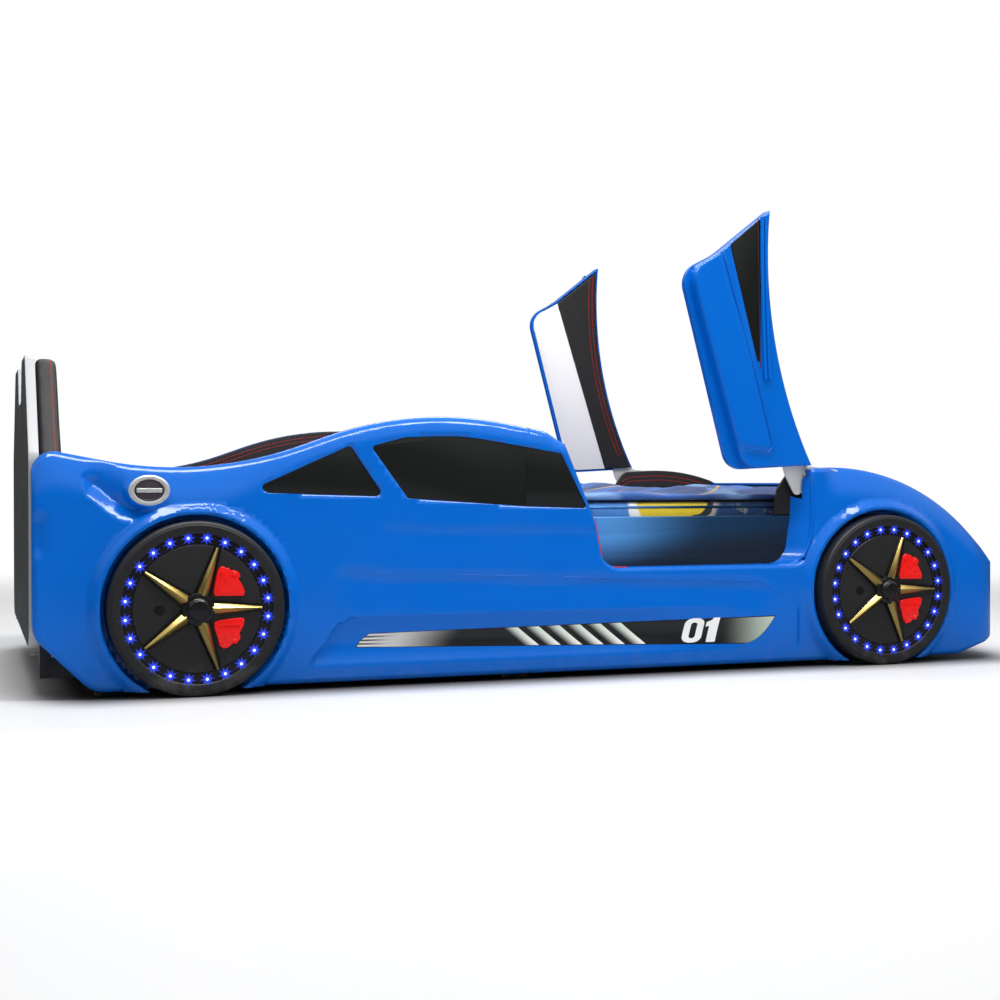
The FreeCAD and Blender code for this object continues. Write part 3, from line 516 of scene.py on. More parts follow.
blue = (0.0, 0.130, 0.59)
lacquer = {"Specular_IOR_Level": 0.36, "Coat_Weight": 0.25, "Coat_Roughness": 0.04}
paint = moulded("bodyBlue", blue, 0.16, grain=90.0, tone=0.05, dust=0.05, bump=0.012, **lacquer)
glossBlack = moulded("windowBlack", (0.011, 0.012, 0.012), 0.09, grain=60.0, dust=0.0, bump=0.01,
                     Specular_IOR_Level=0.4)
chrome = moulded("chrome", (0.80, 0.82, 0.80), 0.24, grain=800.0, bump=0.03, Metallic=0.55,
                 Specular_IOR_Level=0.8)
rubber = moulded("tyreBlack", (0.014, 0.014, 0.015), 0.46, grain=900.0, tone=0.2, dust=0.12, bump=0.12)
gold = moulded("spokeGold", (0.78, 0.57, 0.18), 0.3, grain=500.0, bump=0.05, Metallic=1.0)
hubBlack = moulded("hubBlack", (0.009, 0.009, 0.010), 0.2, grain=500.0, bump=0.03)
# painted highlight: pale grey for the lines along the wheel ridges' edges
edgeGrey = moulded("edgeGrey", (0.11, 0.11, 0.115), 0.3, grain=500.0, tone=0.4, bump=0.03)
ridgeBlack = moulded("ridgeBlack", (0.005, 0.005, 0.006), 0.20, grain=300.0, bump=0.02,
                     Specular_IOR_Level=0.5)
red = moulded("caliperRed", (0.86, 0.008, 0.006), 0.24, grain=200.0, tone=0.15, bump=0.2,
              Specular_IOR_Level=0.4)
lidGrey = moulded("lidGrey", (0.085, 0.070, 0.090), 0.3, grain=700.0, bump=0.06, Metallic=0.6)
steel = moulded("boltSteel", (0.55, 0.55, 0.56), 0.3, grain=900.0, bump=0.05, Metallic=1.0)
hingeGrey = moulded("hingeGrey", (0.66, 0.66, 0.66), 0.36, grain=700.0, bump=0.05, Metallic=0.15)
bracketSteel = moulded("bracketSteel", (0.42, 0.42, 0.44), 0.38, grain=900.0, bump=0.08, Metallic=1.0)
numberWhite = moulded("numberWhite", (0.90, 0.90, 0.90), 0.3, grain=300.0, tone=0.02, dust=0.0, bump=0.02)
cardWhite = moulded("cardWhite", (0.95, 0.915, 0.89), 0.42, grain=500.0, tone=0.03, dust=0.0, bump=0.04)
boardGrey = moulded("headboardGrey", (0.068, 0.068, 0.070), 0.5, grain=420.0, tone=0.12, bump=0.1)
edgeWhite = moulded("edgeWhite", (0.46, 0.475, 0.49), 0.34, grain=300.0, dust=0.2, bump=0.03)
footBlack = moulded("footPlastic", (0.018, 0.018, 0.019), 0.48, grain=600.0, dust=0.4, bump=0.1)
slatWood = wood("slatWood", (0.66, 0.50, 0.32), (0.50, 0.34, 0.19), 1.0, 0.55)
frameWood = wood("frameWood", (0.60, 0.44, 0.27), (0.44, 0.29, 0.16), 0.0, 0.6)
blackLeather = leather("liningLeather", (0.016, 0.015, 0.015), 0.40, 420.0)
padLeather = leather("padLeather", (0.020, 0.018, 0.018), 0.42, 420.0)
headlampClear = moulded("headlampClear", (0.80, 0.86, 0.92), 0.08, grain=40.0, dust=0.0, bump=0.02,
                        Specular_IOR_Level=0.6)
stitchDark = moulded("pipingDark", (0.055, 0.010, 0.006), 0.5, grain=900.0, bump=0.1)
stitchRed = moulded("stitchRed", (0.62, 0.008, 0.008), 0.5, grain=2000.0, bump=0.3)


def makeRailBlue():
    # lacquered blue board with painted shade: lighter towards the head, darker towards the foot, near black
    # low down and at the rear end
    mat, g, shader = newMaterial("railBlue", Base_Color=(0.03, 0.13, 0.3, 1), Specular_IOR_Level=0.3)
    x, y, z = g.split(g.place())
    # painted shade: lighter towards the head, darker towards the foot
    colour = g.mix(g.ramp(x, 0.02, 0.34), (0.080, 0.290, 0.66, 1), (0.007, 0.036, 0.090, 1))
    # painted shade: near black below a line that slants up towards the nose
    colour = g.mix(g.ramp(g.minus(z, g.times(x, 0.12)), 0.215, 0.300), (0.010, 0.018, 0.030, 1), colour)
    # painted shadow: near black at the rear end, under the headboard
    colour = g.mix(g.ramp(x, -0.5, -0.1), (0.012, 0.014, 0.018, 1), colour)
    g.dress(shader, g.group(surfaceWear, {"Colour": colour, "Roughness": 0.32, "Grain": 300.0}), 0.04)
    return mat


railBlue = makeRailBlue()

# printed band on the sill: two slanting edges, in metres, as (height at x = 0, slope)
band = {
    "low": (0.0686, -0.0264), "high": (0.1160, 0.0104), "rear": (-0.5065, 0.030, 1.8),
    "front": (0.385, 0.0965, 0.42), "stripes": (-0.2002, 0.0947), "pitch": 0.0492, "lean": 1.22,
    "leanFrom": 0.116, "charcoal": (0.016, 0.017, 0.019, 1),
}


def makeBandPaint():
    # body lacquer with the printed band: streaks at the rear, slanting stripes, a pale tip at the front
    mat, g, shader = newMaterial("bodyBluePrinted", Base_Color=(*blue, 1), **lacquer)
    x, y, z = g.split(g.place())
    low = g.math("MULTIPLY_ADD", x, band["low"][1], band["low"][0])
    high = g.math("MULTIPLY_ADD", x, band["high"][1], band["high"][0])
    up = g.math("DIVIDE", g.minus(z, low), g.minus(high, low))
    safeUp = g.math("MAXIMUM", up, 0.0001)
    edges = []
    for start, reach, power in (band["rear"], band["front"]):
        edges.append(g.math("MULTIPLY_ADD", g.math("POWER", safeUp, power), reach, start))
    fromRear = g.minus(x, edges[0])
    fromFront = g.minus(edges[1], x)
    masks = []
    for inset in (0.0, 0.0016):
        mask = g.ramp(fromRear, inset, inset + 0.0005)
        for value, scale in ((fromFront, 1.0), (up, 20.0), (g.minus(1.0, up), 20.0)):
            mask = g.times(mask, g.ramp(value, inset * scale, (inset + 0.0005) * scale))
        masks.append(mask)
    streaks = g.math("MULTIPLY_ADD", g.math("COSINE", g.times(up, 8 * pi)), -0.5, 0.5)
    streaks = g.math("MAXIMUM", streaks, g.ramp(fromRear, 0.0, 0.09))
    atRear = g.times(g.minus(1.0, g.ramp(fromRear, 0.012, 0.215)), streaks)
    colour = g.mix(atRear, band["charcoal"], (0.80, 0.79, 0.77, 1))
    slanted = g.math("MULTIPLY_ADD", g.minus(z, band["leanFrom"]), band["lean"], x)
    start, stop = band["stripes"]
    share = g.math("FRACT", g.math("DIVIDE", g.minus(slanted, start), band["pitch"]))
    stripe = g.times(g.ramp(share, 0.28, 0.92), g.minus(1.0, g.ramp(share, 0.985, 1.0)))
    within = g.times(g.math("GREATER_THAN", slanted, start), g.math("LESS_THAN", slanted, stop))
    colour = g.mix(g.times(stripe, within), colour, g.mix(up, (0.86, 0.84, 0.80, 1), (0.74, 0.86, 0.74, 1)))
    colour = g.mix(g.times(g.ramp(x, 0.34, 0.49), 0.9), colour, (0.56, 0.66, 0.56, 1))
    colour = g.mix(masks[1], (0.007, 0.005, 0.004, 1), colour)
    colour = g.mix(masks[0], (*blue, 1), colour)
    g.dress(shader, g.group(surfaceWear, {
        "Colour": colour, "Roughness": 0.16, "Grain": 90.0, "Tone": 0.05, "Dust": 0.05}), 0.012)
    return mat


bandPaint = makeBandPaint()


def fabric(name, colourOf, roughness=0.75, scale=900.0):
    # printed cloth; colourOf draws the print from x, y and z
    mat, g, shader = newMaterial(name, Base_Color=(0.1, 0.3, 0.7, 1), Sheen_Weight=0.25, Sheen_Roughness=0.4,
                                 Roughness=roughness)
    place = g.place()
    threads = g.group(weave, {"Scale": scale})
    colour = colourOf(g, *g.split(place))
    g.feed(shader, "Base Color", g.shade(colour, threads.outputs["Tone"]))
    creases = g.noise(place, 14.0, 4.0, 0.55)
    height = g.plus(g.times(threads.outputs["Height"], 0.12), creases)
    g.feed(shader, "Normal", g.bump(height, 0.5, 0.004))
    return mat


def mattressPrint(g, x, y, z):
    # broad fields with soft borders, one after another along the bed
    place = g.join(x, y, z)
    wander = g.times(g.minus(g.noise(place, 9.0, 2.0), 0.5), 0.10)
    run = g.math("FRACT", g.plus(g.times(g.plus(x, wander), 1.45), 0.92))
    lean = g.times(g.minus(0.385, z), 1.6)
    colour = g.mix(g.ramp(run, 0.0, 0.03), (0.012, 0.05, 0.16, 1), (0.05, 0.20, 0.52, 1))
    for start, soft, shade in ((0.145, 0.010, (0.78, 0.78, 0.76, 1)), (0.175, 0.006, (0.70, 0.52, 0.02, 1)),
                               (0.430, 0.006, (0.015, 0.02, 0.03, 1)), (0.465, 0.006, (0.42, 0.40, 0.36, 1)),
                               (0.478, 0.030, (0.012, 0.05, 0.16, 1)), (0.880, 0.060, (0.05, 0.20, 0.52, 1))):
        where = g.plus(run, lean) if 0.4 < start < 0.5 else run
        colour = g.mix(g.ramp(where, start, start + soft), colour, shade)
    dots = g.ramp(g.times(g.math("SINE", g.times(x, 700.0)), g.math("SINE", g.times(z, 700.0))), 0.1, 0.7)
    onYellow = g.times(g.ramp(run, 0.18, 0.19), g.minus(1.0, g.ramp(g.plus(run, lean), 0.425, 0.43)))
    colour = g.mix(g.times(g.times(dots, onYellow), 0.35), colour, (0.30, 0.20, 0.01, 1))
    spots = g.ramp(g.noise(place, 34.0, 3.0), 0.56, 0.62)
    return g.mix(g.times(spots, g.ramp(run, 0.5, 0.6)), colour, (0.22, 0.24, 0.22, 1))


def quiltPrint(g, x, y, z):
    place = g.join(x, y, z)
    swirl = g.noise(g.scaled(place, (3.0, 7.0, 3.0)), 1.0, 2.0)
    base = g.mix(g.ramp(swirl, 0.36, 0.60), (0.010, 0.040, 0.16, 1), (0.030, 0.115, 0.40, 1))
    pale = g.ramp(g.noise(place, 4.2, 3.0), 0.56, 0.66)
    base = g.mix(g.times(pale, 0.8), base, (0.17, 0.32, 0.58, 1))
    line = g.math("ABSOLUTE", g.minus(g.noise(place, 3.1, 1.0), 0.5))
    return g.mix(g.minus(1.0, g.ramp(line, 0.004, 0.009)), base, (0.60, 0.34, 0.06, 1))


mattressCloth = fabric("mattressPrint", mattressPrint)
quiltCloth = fabric("quiltBlue", quiltPrint)

finishes = {
    "body_blue": paint, "window_black": glossBlack, "chrome": chrome, "tyre_black": rubber,
    "spoke_gold": gold, "hub_black": hubBlack, "clear_ring": glossBlack, "lamp_white": cardWhite,
    "caliper_red": red, "bolt_steel": steel, "hinge_grey": hingeGrey, "bracket_steel": bracketSteel,
    "lining_leather": blackLeather, "card_white": cardWhite, "headboard_grey": boardGrey,
    "edge_white": edgeWhite, "pad_leather": padLeather, "rail_blue": railBlue, "slat_wood": slatWood,
    "frame_wood": frameWood, "foot_plastic": footBlack, "mattress_print": mattressCloth,
    "quilt_blue": quiltCloth, "headlamp_clear": headlampClear,
}
slotOf = {entry["node"]: entry["material_slot"] for entry in frame["record"]["subparts"]}
for name, piece in nodes.items():
    for materialSlot in piece.material_slots:
        materialSlot.material = finishes[slotOf[name]]
print("materials made")


# floor, with the cast shadow kept, a painted soft shadow round the bed's footprint, a painted dark floor in
# reflections, and its far edge fading into the background
def makeFloor():
    bm = bmesh.new()
    ops.create_circle(bm, cap_ends=True, radius=6.0, segments=96)
    mesh = bpy.data.meshes.new("floor")
    bm.to_mesh(mesh)
    bm.free()
    floor = bpy.data.objects.new("floor", mesh)
    scene.collection.objects.link(floor)
    mat, g, shader = newMaterial("floorPale", Base_Color=(0.9, 0.9, 0.9, 1), Roughness=0.35,
                                 Specular_IOR_Level=0.3)
    place = g.place()
    pale = g.mix(g.times(g.noise(place, 2.0), 0.3), (0.93, 0.93, 0.93, 1), (0.90, 0.90, 0.90, 1))
    x, y, z = g.split(place)
    beyond = [g.math("MAXIMUM", g.minus(g.math("ABSOLUTE", value), half), 0.0)
              for value, half in ((x, 1.02), (y, 0.47))]
    # painted shadow: distance from the bed's footprint
    paintedShadowReach = g.far(*beyond)
    # painted shadow: the floor turns near black within a few centimetres of the footprint
    pale = g.mix(g.ramp(paintedShadowReach, 0.02, 0.20), (0.05, 0.05, 0.055, 1), pale)
    # painted reflection: glossy rays see the floor nearly dark
    inGloss = g.add("LightPath").outputs["Is Glossy Ray"]
    g.feed(shader, "Base Color", g.mix(g.times(inGloss, 0.8), pale, (0.02, 0.03, 0.05, 1)))
    distance = g.add("VectorMath", {0: place}, operation="LENGTH").outputs["Value"]
    clear = g.add("BsdfTransparent").outputs[0]
    blend = g.add("MixShader", {0: g.ramp(distance, 1.9, 4.2), 1: shader.outputs[0], 2: clear})
    g.feed(g.tree.nodes["Material Output"], 0, blend.outputs[0])
    mesh.materials.append(mat)


makeFloor()
print("stage set")


# side shells: the plain mouldings get the sculpted surface
shell = {
    "step": 0.012, "fine": 0.004, "fineBox": (-1.09, -0.88, 0.33, 0.45), "doorway": (-0.046, 0.575),
    "haunchRoll": (0.088, 0.030), "roofRoll": (0.034, 0.017), "fenderRoll": (0.080, 0.030),
    "archBulge": 0.003, "archReach": (0.200, 0.290),
    "valley": [(-1.060, 0.439), (-1.040, 0.427), (-1.018, 0.412), (-0.996, 0.392), (-0.972, 0.377),
               (-0.945, 0.371), (-0.915, 0.366)],
    "valleyDepth": 0.0225, "flank": 0.0290, "valleyReach": 0.055,
    "belt": [(-0.48, 0.336), (0.03, 0.322)], "beltDepth": 0.0022,
    "crease": [(-0.56, 0.243), (-0.4575, 0.237), (0.0425, 0.218), (0.4445, 0.200)], "creaseDepth": 0.0035,
    "notch": (-1.131, 0.281, 0.361), "notchDepth": 0.007, "notchSoft": 0.004,
    "scoop": (-0.62, 0.545, 0.045, 0.149), "scoopFade": (0.05, 0.50), "scoopDepth": 0.0095,
}

# filler caps: a wide oval bezel with screws round a dark lid with a grip across it
cap = {"place": (-0.9285, 0.410), "half": (0.0405, 0.0305), "bezel": 0.0088, "screws": 6, "screwRing": 0.0262,
       "grip": (0.0500, 0.0088)}


def rollAt(x):
    haunch = 1 - blendStep(x, -0.80, -0.60)
    fender = blendStep(x, 0.50, 0.60)
    sizes = []
    for size, atHaunch, atFender in zip(shell["roofRoll"], shell["haunchRoll"], shell["fenderRoll"]):
        size += (atHaunch - size) * haunch
        size += (atFender - size) * fender
        sizes.append(size)
    return sizes


def toLine(points, x, z):
    # nearest place on a line of points: distance, which side, and share of the way along
    best = (9.0, 0.0, 0.0)
    total = len(points) - 1
    for index in range(total):
        ax, az = points[index]
        bx, bz = points[index + 1]
        dx, dz = bx - ax, bz - az
        length = hypot(dx, dz)
        t = min(1.0, max(0.0, ((x - ax) * dx + (z - az) * dz) / (length * length)))
        gap = hypot(x - ax - dx * t, z - az - dz * t)
        if gap < best[0]:
            side = (dx * (z - az) - dz * (x - ax)) / length
            best = (gap, side, (index + t) / total)
    return best


def sunkAt(x, z, top):
    # how far the outer surface lies inwards of the plain face
    height, depth = rollAt(x)
    sunk = depth * max(0.0, 1 - (top - z) / height) ** 2 * (blendStep(x, 0.590, 0.66) if x > 0.5 else 1.0)
    reach = min(hypot(x - wheelX, z - car["wheelZ"]) for wheelX in car["wheelX"])
    low, high = shell["archReach"]
    if reach < high:
        sunk -= shell["archBulge"] * (1 - blendStep(reach, low, high))
    gap, side, share = toLine(shell["valley"], x, z)
    if gap < shell["valleyReach"]:
        taper = min(1.0, 1.6 * sin(pi * min(1.0, max(0.0, share))))
        width = shell["flank"] * max(0.12, taper) if side < 0 else shell["valleyReach"]
        power = 1.04 if side < 0 else 1.25
        capX, capZ = cap["place"]
        capPad = blendStep(hypot((x - capX) / cap["half"][0], (z - capZ) / cap["half"][1]), 1.0, 1.3)
        valley = shell["valleyDepth"] * taper * max(0.0, 1 - gap / width) ** power
        sunk += valley * blendStep(reach, 0.200, 0.216) * capPad
    for points, depth in ((shell["belt"], shell["beltDepth"]), (shell["crease"], shell["creaseDepth"])):
        under = along(points, x) - z
        start, stop = points[0][0], points[-1][0]
        fade = blendStep(x, start, start + 0.05) * (1 - blendStep(x, stop, stop + 0.02))
        if 0 < under < 0.08:
            sunk += depth * fade * blendStep(under, 0, 0.008) * (1 - blendStep(under, 0.012, 0.08))
    edgeX, low, high = shell["notch"]
    if x < edgeX and low < z < high:
        soft = shell["notchSoft"]
        within = blendStep(min(z - low, high - z), 0, soft) * blendStep(edgeX - x, 0, soft)
        sunk += shell["notchDepth"] * within
    return sunk


def sculptShell(bm):
    xs = [v.co.x for v in bm.verts]
    zs = [v.co.z for v in bm.verts]
    low, high = min(xs), max(xs)
    step = shell["step"]
    gridCut(bm, 0, round(low / step) * step + step / 2, high, step)
    gridCut(bm, 2, 0.03, max(zs), step)
    # the valley by the filler cap gets a finer grid
    box = shell["fineBox"]
    for axis, start, stop in ((0, box[0], box[1]), (2, box[2], box[3])):
        for index in range(int((stop - start) / shell["fine"])):
            near = [f for f in bm.faces if box[0] < f.calc_center_median().x < box[1]
                    and box[2] < f.calc_center_median().z < box[3] and f.calc_center_median().y < -0.50]
            if not near:
                break
            geom = near + list({e for f in near for e in f.edges}) + list({v for f in near for v in f.verts})
            normal = Vector((1, 0, 0)) if axis == 0 else Vector((0, 0, 1))
            ops.bisect_plane(bm, geom=geom, dist=1e-6, plane_no=normal,
                             plane_co=normal * (start + (index + 0.5) * shell["fine"]))
    # height of the shell's top edge at each cut; the door opening has no roll
    tops = {}
    for vert in bm.verts:
        key = (vert.co.x - step / 2) / step
        if abs(key - round(key)) < 0.01 and not shell["doorway"][0] < vert.co.x < shell["doorway"][1]:
            tops[round(key)] = max(tops.get(round(key), 0.0), vert.co.z)
    line = [((key + 0.5) * step, tops[key]) for key in sorted(tops)]
    depth = car["backY"] - car["faceY"]
    left, right, bottom, upper = shell["scoop"]
    for vert in bm.verts:
        x, y, z = vert.co
        if left < x < right and bottom < z < upper and car["faceY"] < y < car["faceY"] + shell["scoopDepth"]:
            vert.co.y -= (y - car["faceY"]) * blendStep(x, *shell["scoopFade"])
        share = (car["backY"] - vert.co.y) / depth
        vert.co.y += sunkAt(x, z, along(line, x) if not -0.04 < x < 0.570 else 9.0) * share
    return bm


def makeShells():
    for half in ("rear", "front"):
        for side in sides:
            node = f"side_shell_{half}_{side}"
            bm = sculptShell(mirrored(copyOfNode(node), side))
            sidePiece("shell" + half.capitalize(), side, bm, "bed", "body_blue", bandPaint, smooth=38,
                      replaced=[node])


number = {
    "left": 0.2400, "low": 0.0655, "tall": 0.0545, "wide": 0.101, "slant": 0.27, "thick": 0.0004,
    "step": 0.006,
    "ring": [(0.0, 0.56, 0.0, 1.0, 0.24), (0.19, 0.37, 0.18, 0.82, 0.085)],
    "one": [(0.72, 0.0), (0.98, 0.0), (0.98, 1.0), (0.80, 1.0), (0.76, 0.90), (0.62, 0.82), (0.62, 0.64),
            (0.72, 0.66)],
}


def surfaceOf(name):
    bm = bmesh.new()
    bm.from_mesh(bpy.data.objects[name].data)
    tree = BVHTree.FromBMesh(bm)
    bm.free()
    return tree


def surfaceAt(trees, x, z):
    # the outermost place of the right-hand shells at x and z
    found = [tree.ray_cast(Vector((x, -0.7, z)), Vector((0, 1, 0)))[0] for tree in trees]
    return min([place.y for place in found if place] + [car["backY"]])


def makeDigits():
    # a plain 0 and 1 on a unit square, as flat faces
    bm = bmesh.new()
    for left, right, low, high, radius in number["ring"]:
        part = bmesh.new()
        corners = ((left, low), (right, low), (right, high), (left, high))
        part.faces.new([part.verts.new((x, y, 0)) for x, y in corners])
        bevelled(part, part.verts[:], radius, 7, affect="VERTICES")
        ops.delete(part, geom=part.faces[:], context="FACES_ONLY")
        joined(bm, part)
    ops.triangle_fill(bm, edges=bm.edges[:], use_beauty=True, normal=(0, 0, 1))
    bm.faces.new([bm.verts.new((x, y, 0)) for x, y in number["one"]])
    return bm


def makeNumbers():
    # running number, laid on the shell's own surface and readable from each side
    trees = [surfaceOf("shellFrontRight")]
    lean = number["slant"] * number["tall"]
    for side, sign in sides.items():
        bm = makeDigits()
        for vert in bm.verts:
            across, up = vert.co.x, vert.co.y
            run = across * (number["wide"] - lean) + up * lean
            run = run if sign < 0 else number["wide"] - run
            vert.co = (number["left"] + run, -0.6, number["low"] + up * number["tall"])
        gridCut(bm, 0, number["left"], number["left"] + number["wide"], number["step"])
        gridCut(bm, 2, number["low"], number["low"] + number["tall"], number["step"])
        for vert in bm.verts:
            vert.co.y = surfaceAt(trees, vert.co.x, vert.co.z) - number["thick"] / 2
        raised = ops.extrude_face_region(bm, geom=bm.faces[:])["geom"]
        ops.translate(bm, verts=vertsOf(raised), vec=(0, -number["thick"], 0))
        ops.recalc_face_normals(bm, faces=bm.faces)
        sidePiece("number", side, bm, "bed", "body_blue", numberWhite, smooth=30)


trims = {
    "archBead": (0.2060, 0.0011, 112, 168), "crease": 0.0010, "piping": 0.0011, "pipingY": -0.5082,
    "creaseLine": [(-0.457, 0.2365), (-0.240, 0.2280), (-0.022, 0.2190), (0.200, 0.2100), (0.445, 0.2000),
                   (0.483, 0.1740), (0.500, 0.1740)],
    "pipingLine": [(0.0330, 0.3485), (0.0350, 0.335), (0.0425, 0.300), (0.0485, 0.268), (0.0520, 0.252),
                   (0.0620, 0.2415), (0.0800, 0.2385), (0.110, 0.2383)],
    "lip": 0.0044, "lipY": -0.5086,
    "lipLine": [(0.5560, 0.252), (0.5625, 0.262), (0.5700, 0.276), (0.5755, 0.293), (0.5790, 0.312),
                (0.5812, 0.333), (0.5822, 0.354), (0.5817, 0.376), (0.5805, 0.398), (0.5790, 0.418),
                (0.5765, 0.434), (0.5740, 0.442)],
}


def makeShellTrims():
    # fine beads that catch the light, and the red piping at the rear of the opening
    radius, thick, start, stop = trims["archBead"]
    arc = [radians(start + (stop - start) * index / 12) for index in range(13)]
    arch = [(car["wheelX"][0] + radius * cos(a), car["wheelZ"] + radius * sin(a)) for a in arc]
    trees = [surfaceOf(name) for name in ("shellRearRight", "shellFrontRight")]
    for side in sides:
        beads = bmesh.new()
        for line, size in ((arch, thick), (trims["creaseLine"], trims["crease"])):
            addTube(beads, [(x, surfaceAt(trees, x, z) + size * 0.3, z) for x, z in line], size, order=2)
        addTube(beads, [(x, trims["lipY"], z) for x, z in trims["lipLine"]], trims["lip"], rings=3)
        piping = bmesh.new()
        addTube(piping, [(x, trims["pipingY"], z) for x, z in trims["pipingLine"]], trims["piping"])
        for name, bm, mat in (("shellBeads", beads, paint), ("openingPiping", piping, stitchRed)):
            sidePiece(name, side, bm, "bed", "body_blue", mat, smooth=60)


makeShells()
makeNumbers()
makeShellTrims()
print("side shells sculpted")


# wheels: tyre and disc in one moulding, gilt blades in black ridges, a ring of lamps
wheel = {
    "steps": 80, "discY": -0.550, "discRadius": 0.1275, "grooveY": -0.5420, "grooveOuter": 0.1492,
    "ridge": (0.020, 0.1275, 0.0186, 0.0074), "ridgeHeight": 0.0052,
    "blade": (0.028, 0.1275, 0.0116, 0.0030), "bladeBase": -0.5532, "bladePeak": (0.0088, 0.0026),
    "hub": 0.033, "hubFace": -0.5605, "studs": (10, 0.0272, -0.5612), "cap": 0.0225, "capFace": -0.5697,
    "plug": (-0.075, 0.0112), "spokes": 5, "backY": -0.4765,
    "caliperHigh": [(32, 25), (30, 35), (34, 55), (38, 75), (44, 83), (50, 84), (55, 80), (61, 81), (65, 75),
                    (72, 76), (80, 72), (84, 65), (80, 58), (85, 50), (90, 41), (93, 32), (90, 24)],
    "caliperLow": [(31, -27), (41, -23), (66, -20), (86, -19), (92, -22), (91, -33), (82, -50), (84, -60),
                   (77, -70), (68, -71), (60, -78), (49, -80), (42, -73), (37, -55), (32, -40)],
}


def spun(bm, profile, centre, steps):
    # turns a (radius, y) line about a wheel's axis
    verts = [bm.verts.new((centre[0] + radius, y, centre[1])) for radius, y in profile]
    edges = [bm.edges.new(pair) for pair in zip(verts, verts[1:])]
    ops.spin(bm, geom=verts + edges, cent=(centre[0], 0, centre[1]), axis=(0, 1, 0), angle=2 * pi,
                   steps=steps, use_merge=True)
    ops.remove_doubles(bm, verts=bm.verts, dist=1e-6)
    ops.recalc_face_normals(bm, faces=bm.faces)


def turnedCopies(bm, centre, count, start=0.0):
    geom = bm.verts[:] + bm.edges[:] + bm.faces[:]
    ops.rotate(bm, verts=bm.verts, cent=(centre[0], 0, centre[1]), matrix=Matrix.Rotation(start, 3, "Y"))
    for index in range(1, count):
        made = ops.duplicate(bm, geom=geom)["geom"]
        ops.rotate(bm, verts=vertsOf(made), cent=(centre[0], 0, centre[1]),
                   matrix=Matrix.Rotation(2 * pi * index / count, 3, "Y"))


def taperedBar(bm, centre, inner, outer, halfIn, halfOut, baseY, topIn, topOut, crest=1.0):
    # a bar that runs outwards from the hub, narrower and lower at its tip
    made = ops.create_cube(bm, size=1.0)["verts"]
    for vert in made:
        tip = vert.co.x > 0
        high = vert.co.y < 0
        half = halfOut if tip else halfIn
        top = topOut if tip else topIn
        across = half * (crest if high else 1.0) * (1 if vert.co.z > 0 else -1)
        vert.co = (centre[0] + (outer if tip else inner), baseY - (top if high else 0.0), centre[1] + across)
    return made


def makeTyre(centre):
    bm = bmesh.new()
    face, disc, groove = car["tyreY"], wheel["discY"], wheel["grooveY"]
    inner, outer, full = wheel["discRadius"], wheel["grooveOuter"], car["tyreRadius"]
    profile = [(0.0, disc), (inner - 0.004, disc), (inner - 0.0012, disc + 0.0004), (inner, disc + 0.0016),
               (inner, groove), (outer, groove), (outer, disc - 0.0022), (outer + 0.0012, face + 0.0006),
               (outer + 0.003, face), (0.1660, face), (0.1678, face + 0.0012), (0.1688, face + 0.0008),
               (0.1718, face + 0.0020), (0.1740, face + 0.0046), (full, face + 0.0090), (full, -0.482),
               (0.1720, wheel["backY"] - 0.0005), (0.1660, wheel["backY"]), (0.0, wheel["backY"])]
    spun(bm, profile, centre, wheel["steps"])
    return bm


def makeRidges(centre):
    bm = bmesh.new()
    inner, outer, halfIn, halfOut = wheel["ridge"]
    height = wheel["ridgeHeight"]
    taperedBar(bm, centre, inner, outer, halfIn, halfOut, wheel["discY"] + 0.001, height + 0.001,
               height * 0.8 + 0.001, 0.93)
    bm.faces.ensure_lookup_table()
    top = min(bm.faces, key=lambda f: f.calc_center_median().y)
    ops.inset_individual(bm, faces=[top], thickness=0.0034)
    ops.translate(bm, verts=top.verts, vec=(0, 0.0030, 0))
    bevelled(bm, bm.edges[:], 0.0012, 2)
    turnedCopies(bm, centre, wheel["spokes"])
    plug = bmesh.new()
    px, pr = wheel["plug"]
    y = wheel["discY"]
    spun(plug, [(0.0, y - 0.0004), (pr - 0.0016, y - 0.0004), (pr - 0.001, y + 0.0006),
                (pr - 0.0004, y + 0.0006), (pr, y - 0.0003), (pr + 0.0008, y + 0.0003)],
         (centre[0] + px, centre[1]), 28)
    joined(bm, plug)
    return bm


def makeRidgeEdges(centre):
    # painted highlights: pale grey lines along the top and bottom edges of each ridge, where the bevels would
    # catch the light
    bm = bmesh.new()
    inner, outer, halfIn, halfOut = wheel["ridge"]
    y = wheel["discY"]
    for side in (-1, 1):
        for share, lift in ((1.02, 0.0004), (0.76, wheel["ridgeHeight"] - 0.0006)):
            ends = [(centre[0] + run, y - lift * fall, centre[1] + side * half * share)
                    for run, half, fall in ((inner, halfIn, 1.0), (outer, halfOut, 0.85))]
            addTube(bm, ends, 0.00055, order=2, steps=1, rings=1)
    turnedCopies(bm, centre, wheel["spokes"])
    return bm


def makeBlades(centre):
    bm = bmesh.new()
    inner, outer, halfIn, halfOut = wheel["blade"]
    peakIn, peakOut = wheel["bladePeak"]
    taperedBar(bm, centre, inner, outer, halfIn, halfOut, wheel["bladeBase"], peakIn, peakOut, 0.12)
    bevelled(bm, bm.edges[:], 0.00045, 2)
    turnedCopies(bm, centre, wheel["spokes"])
    return bm


def makeHub(centre):
    bm = bmesh.new()
    hub, face = wheel["hub"], wheel["hubFace"]
    spun(bm, [(0.0, face), (hub - 0.006, face), (hub - 0.0015, face + 0.0013), (hub, face + 0.0035),
              (hub, wheel["discY"])], centre, 56)
    count, ring, y = wheel["studs"]
    for index in range(count):
        angle = 2 * pi * (index + 0.3) / count
        place = (centre[0] + ring * cos(angle), y, centre[1] + ring * sin(angle))
        addStud(bm, place, 0.0017, 0.0012, 0.0022, 8)
    return bm


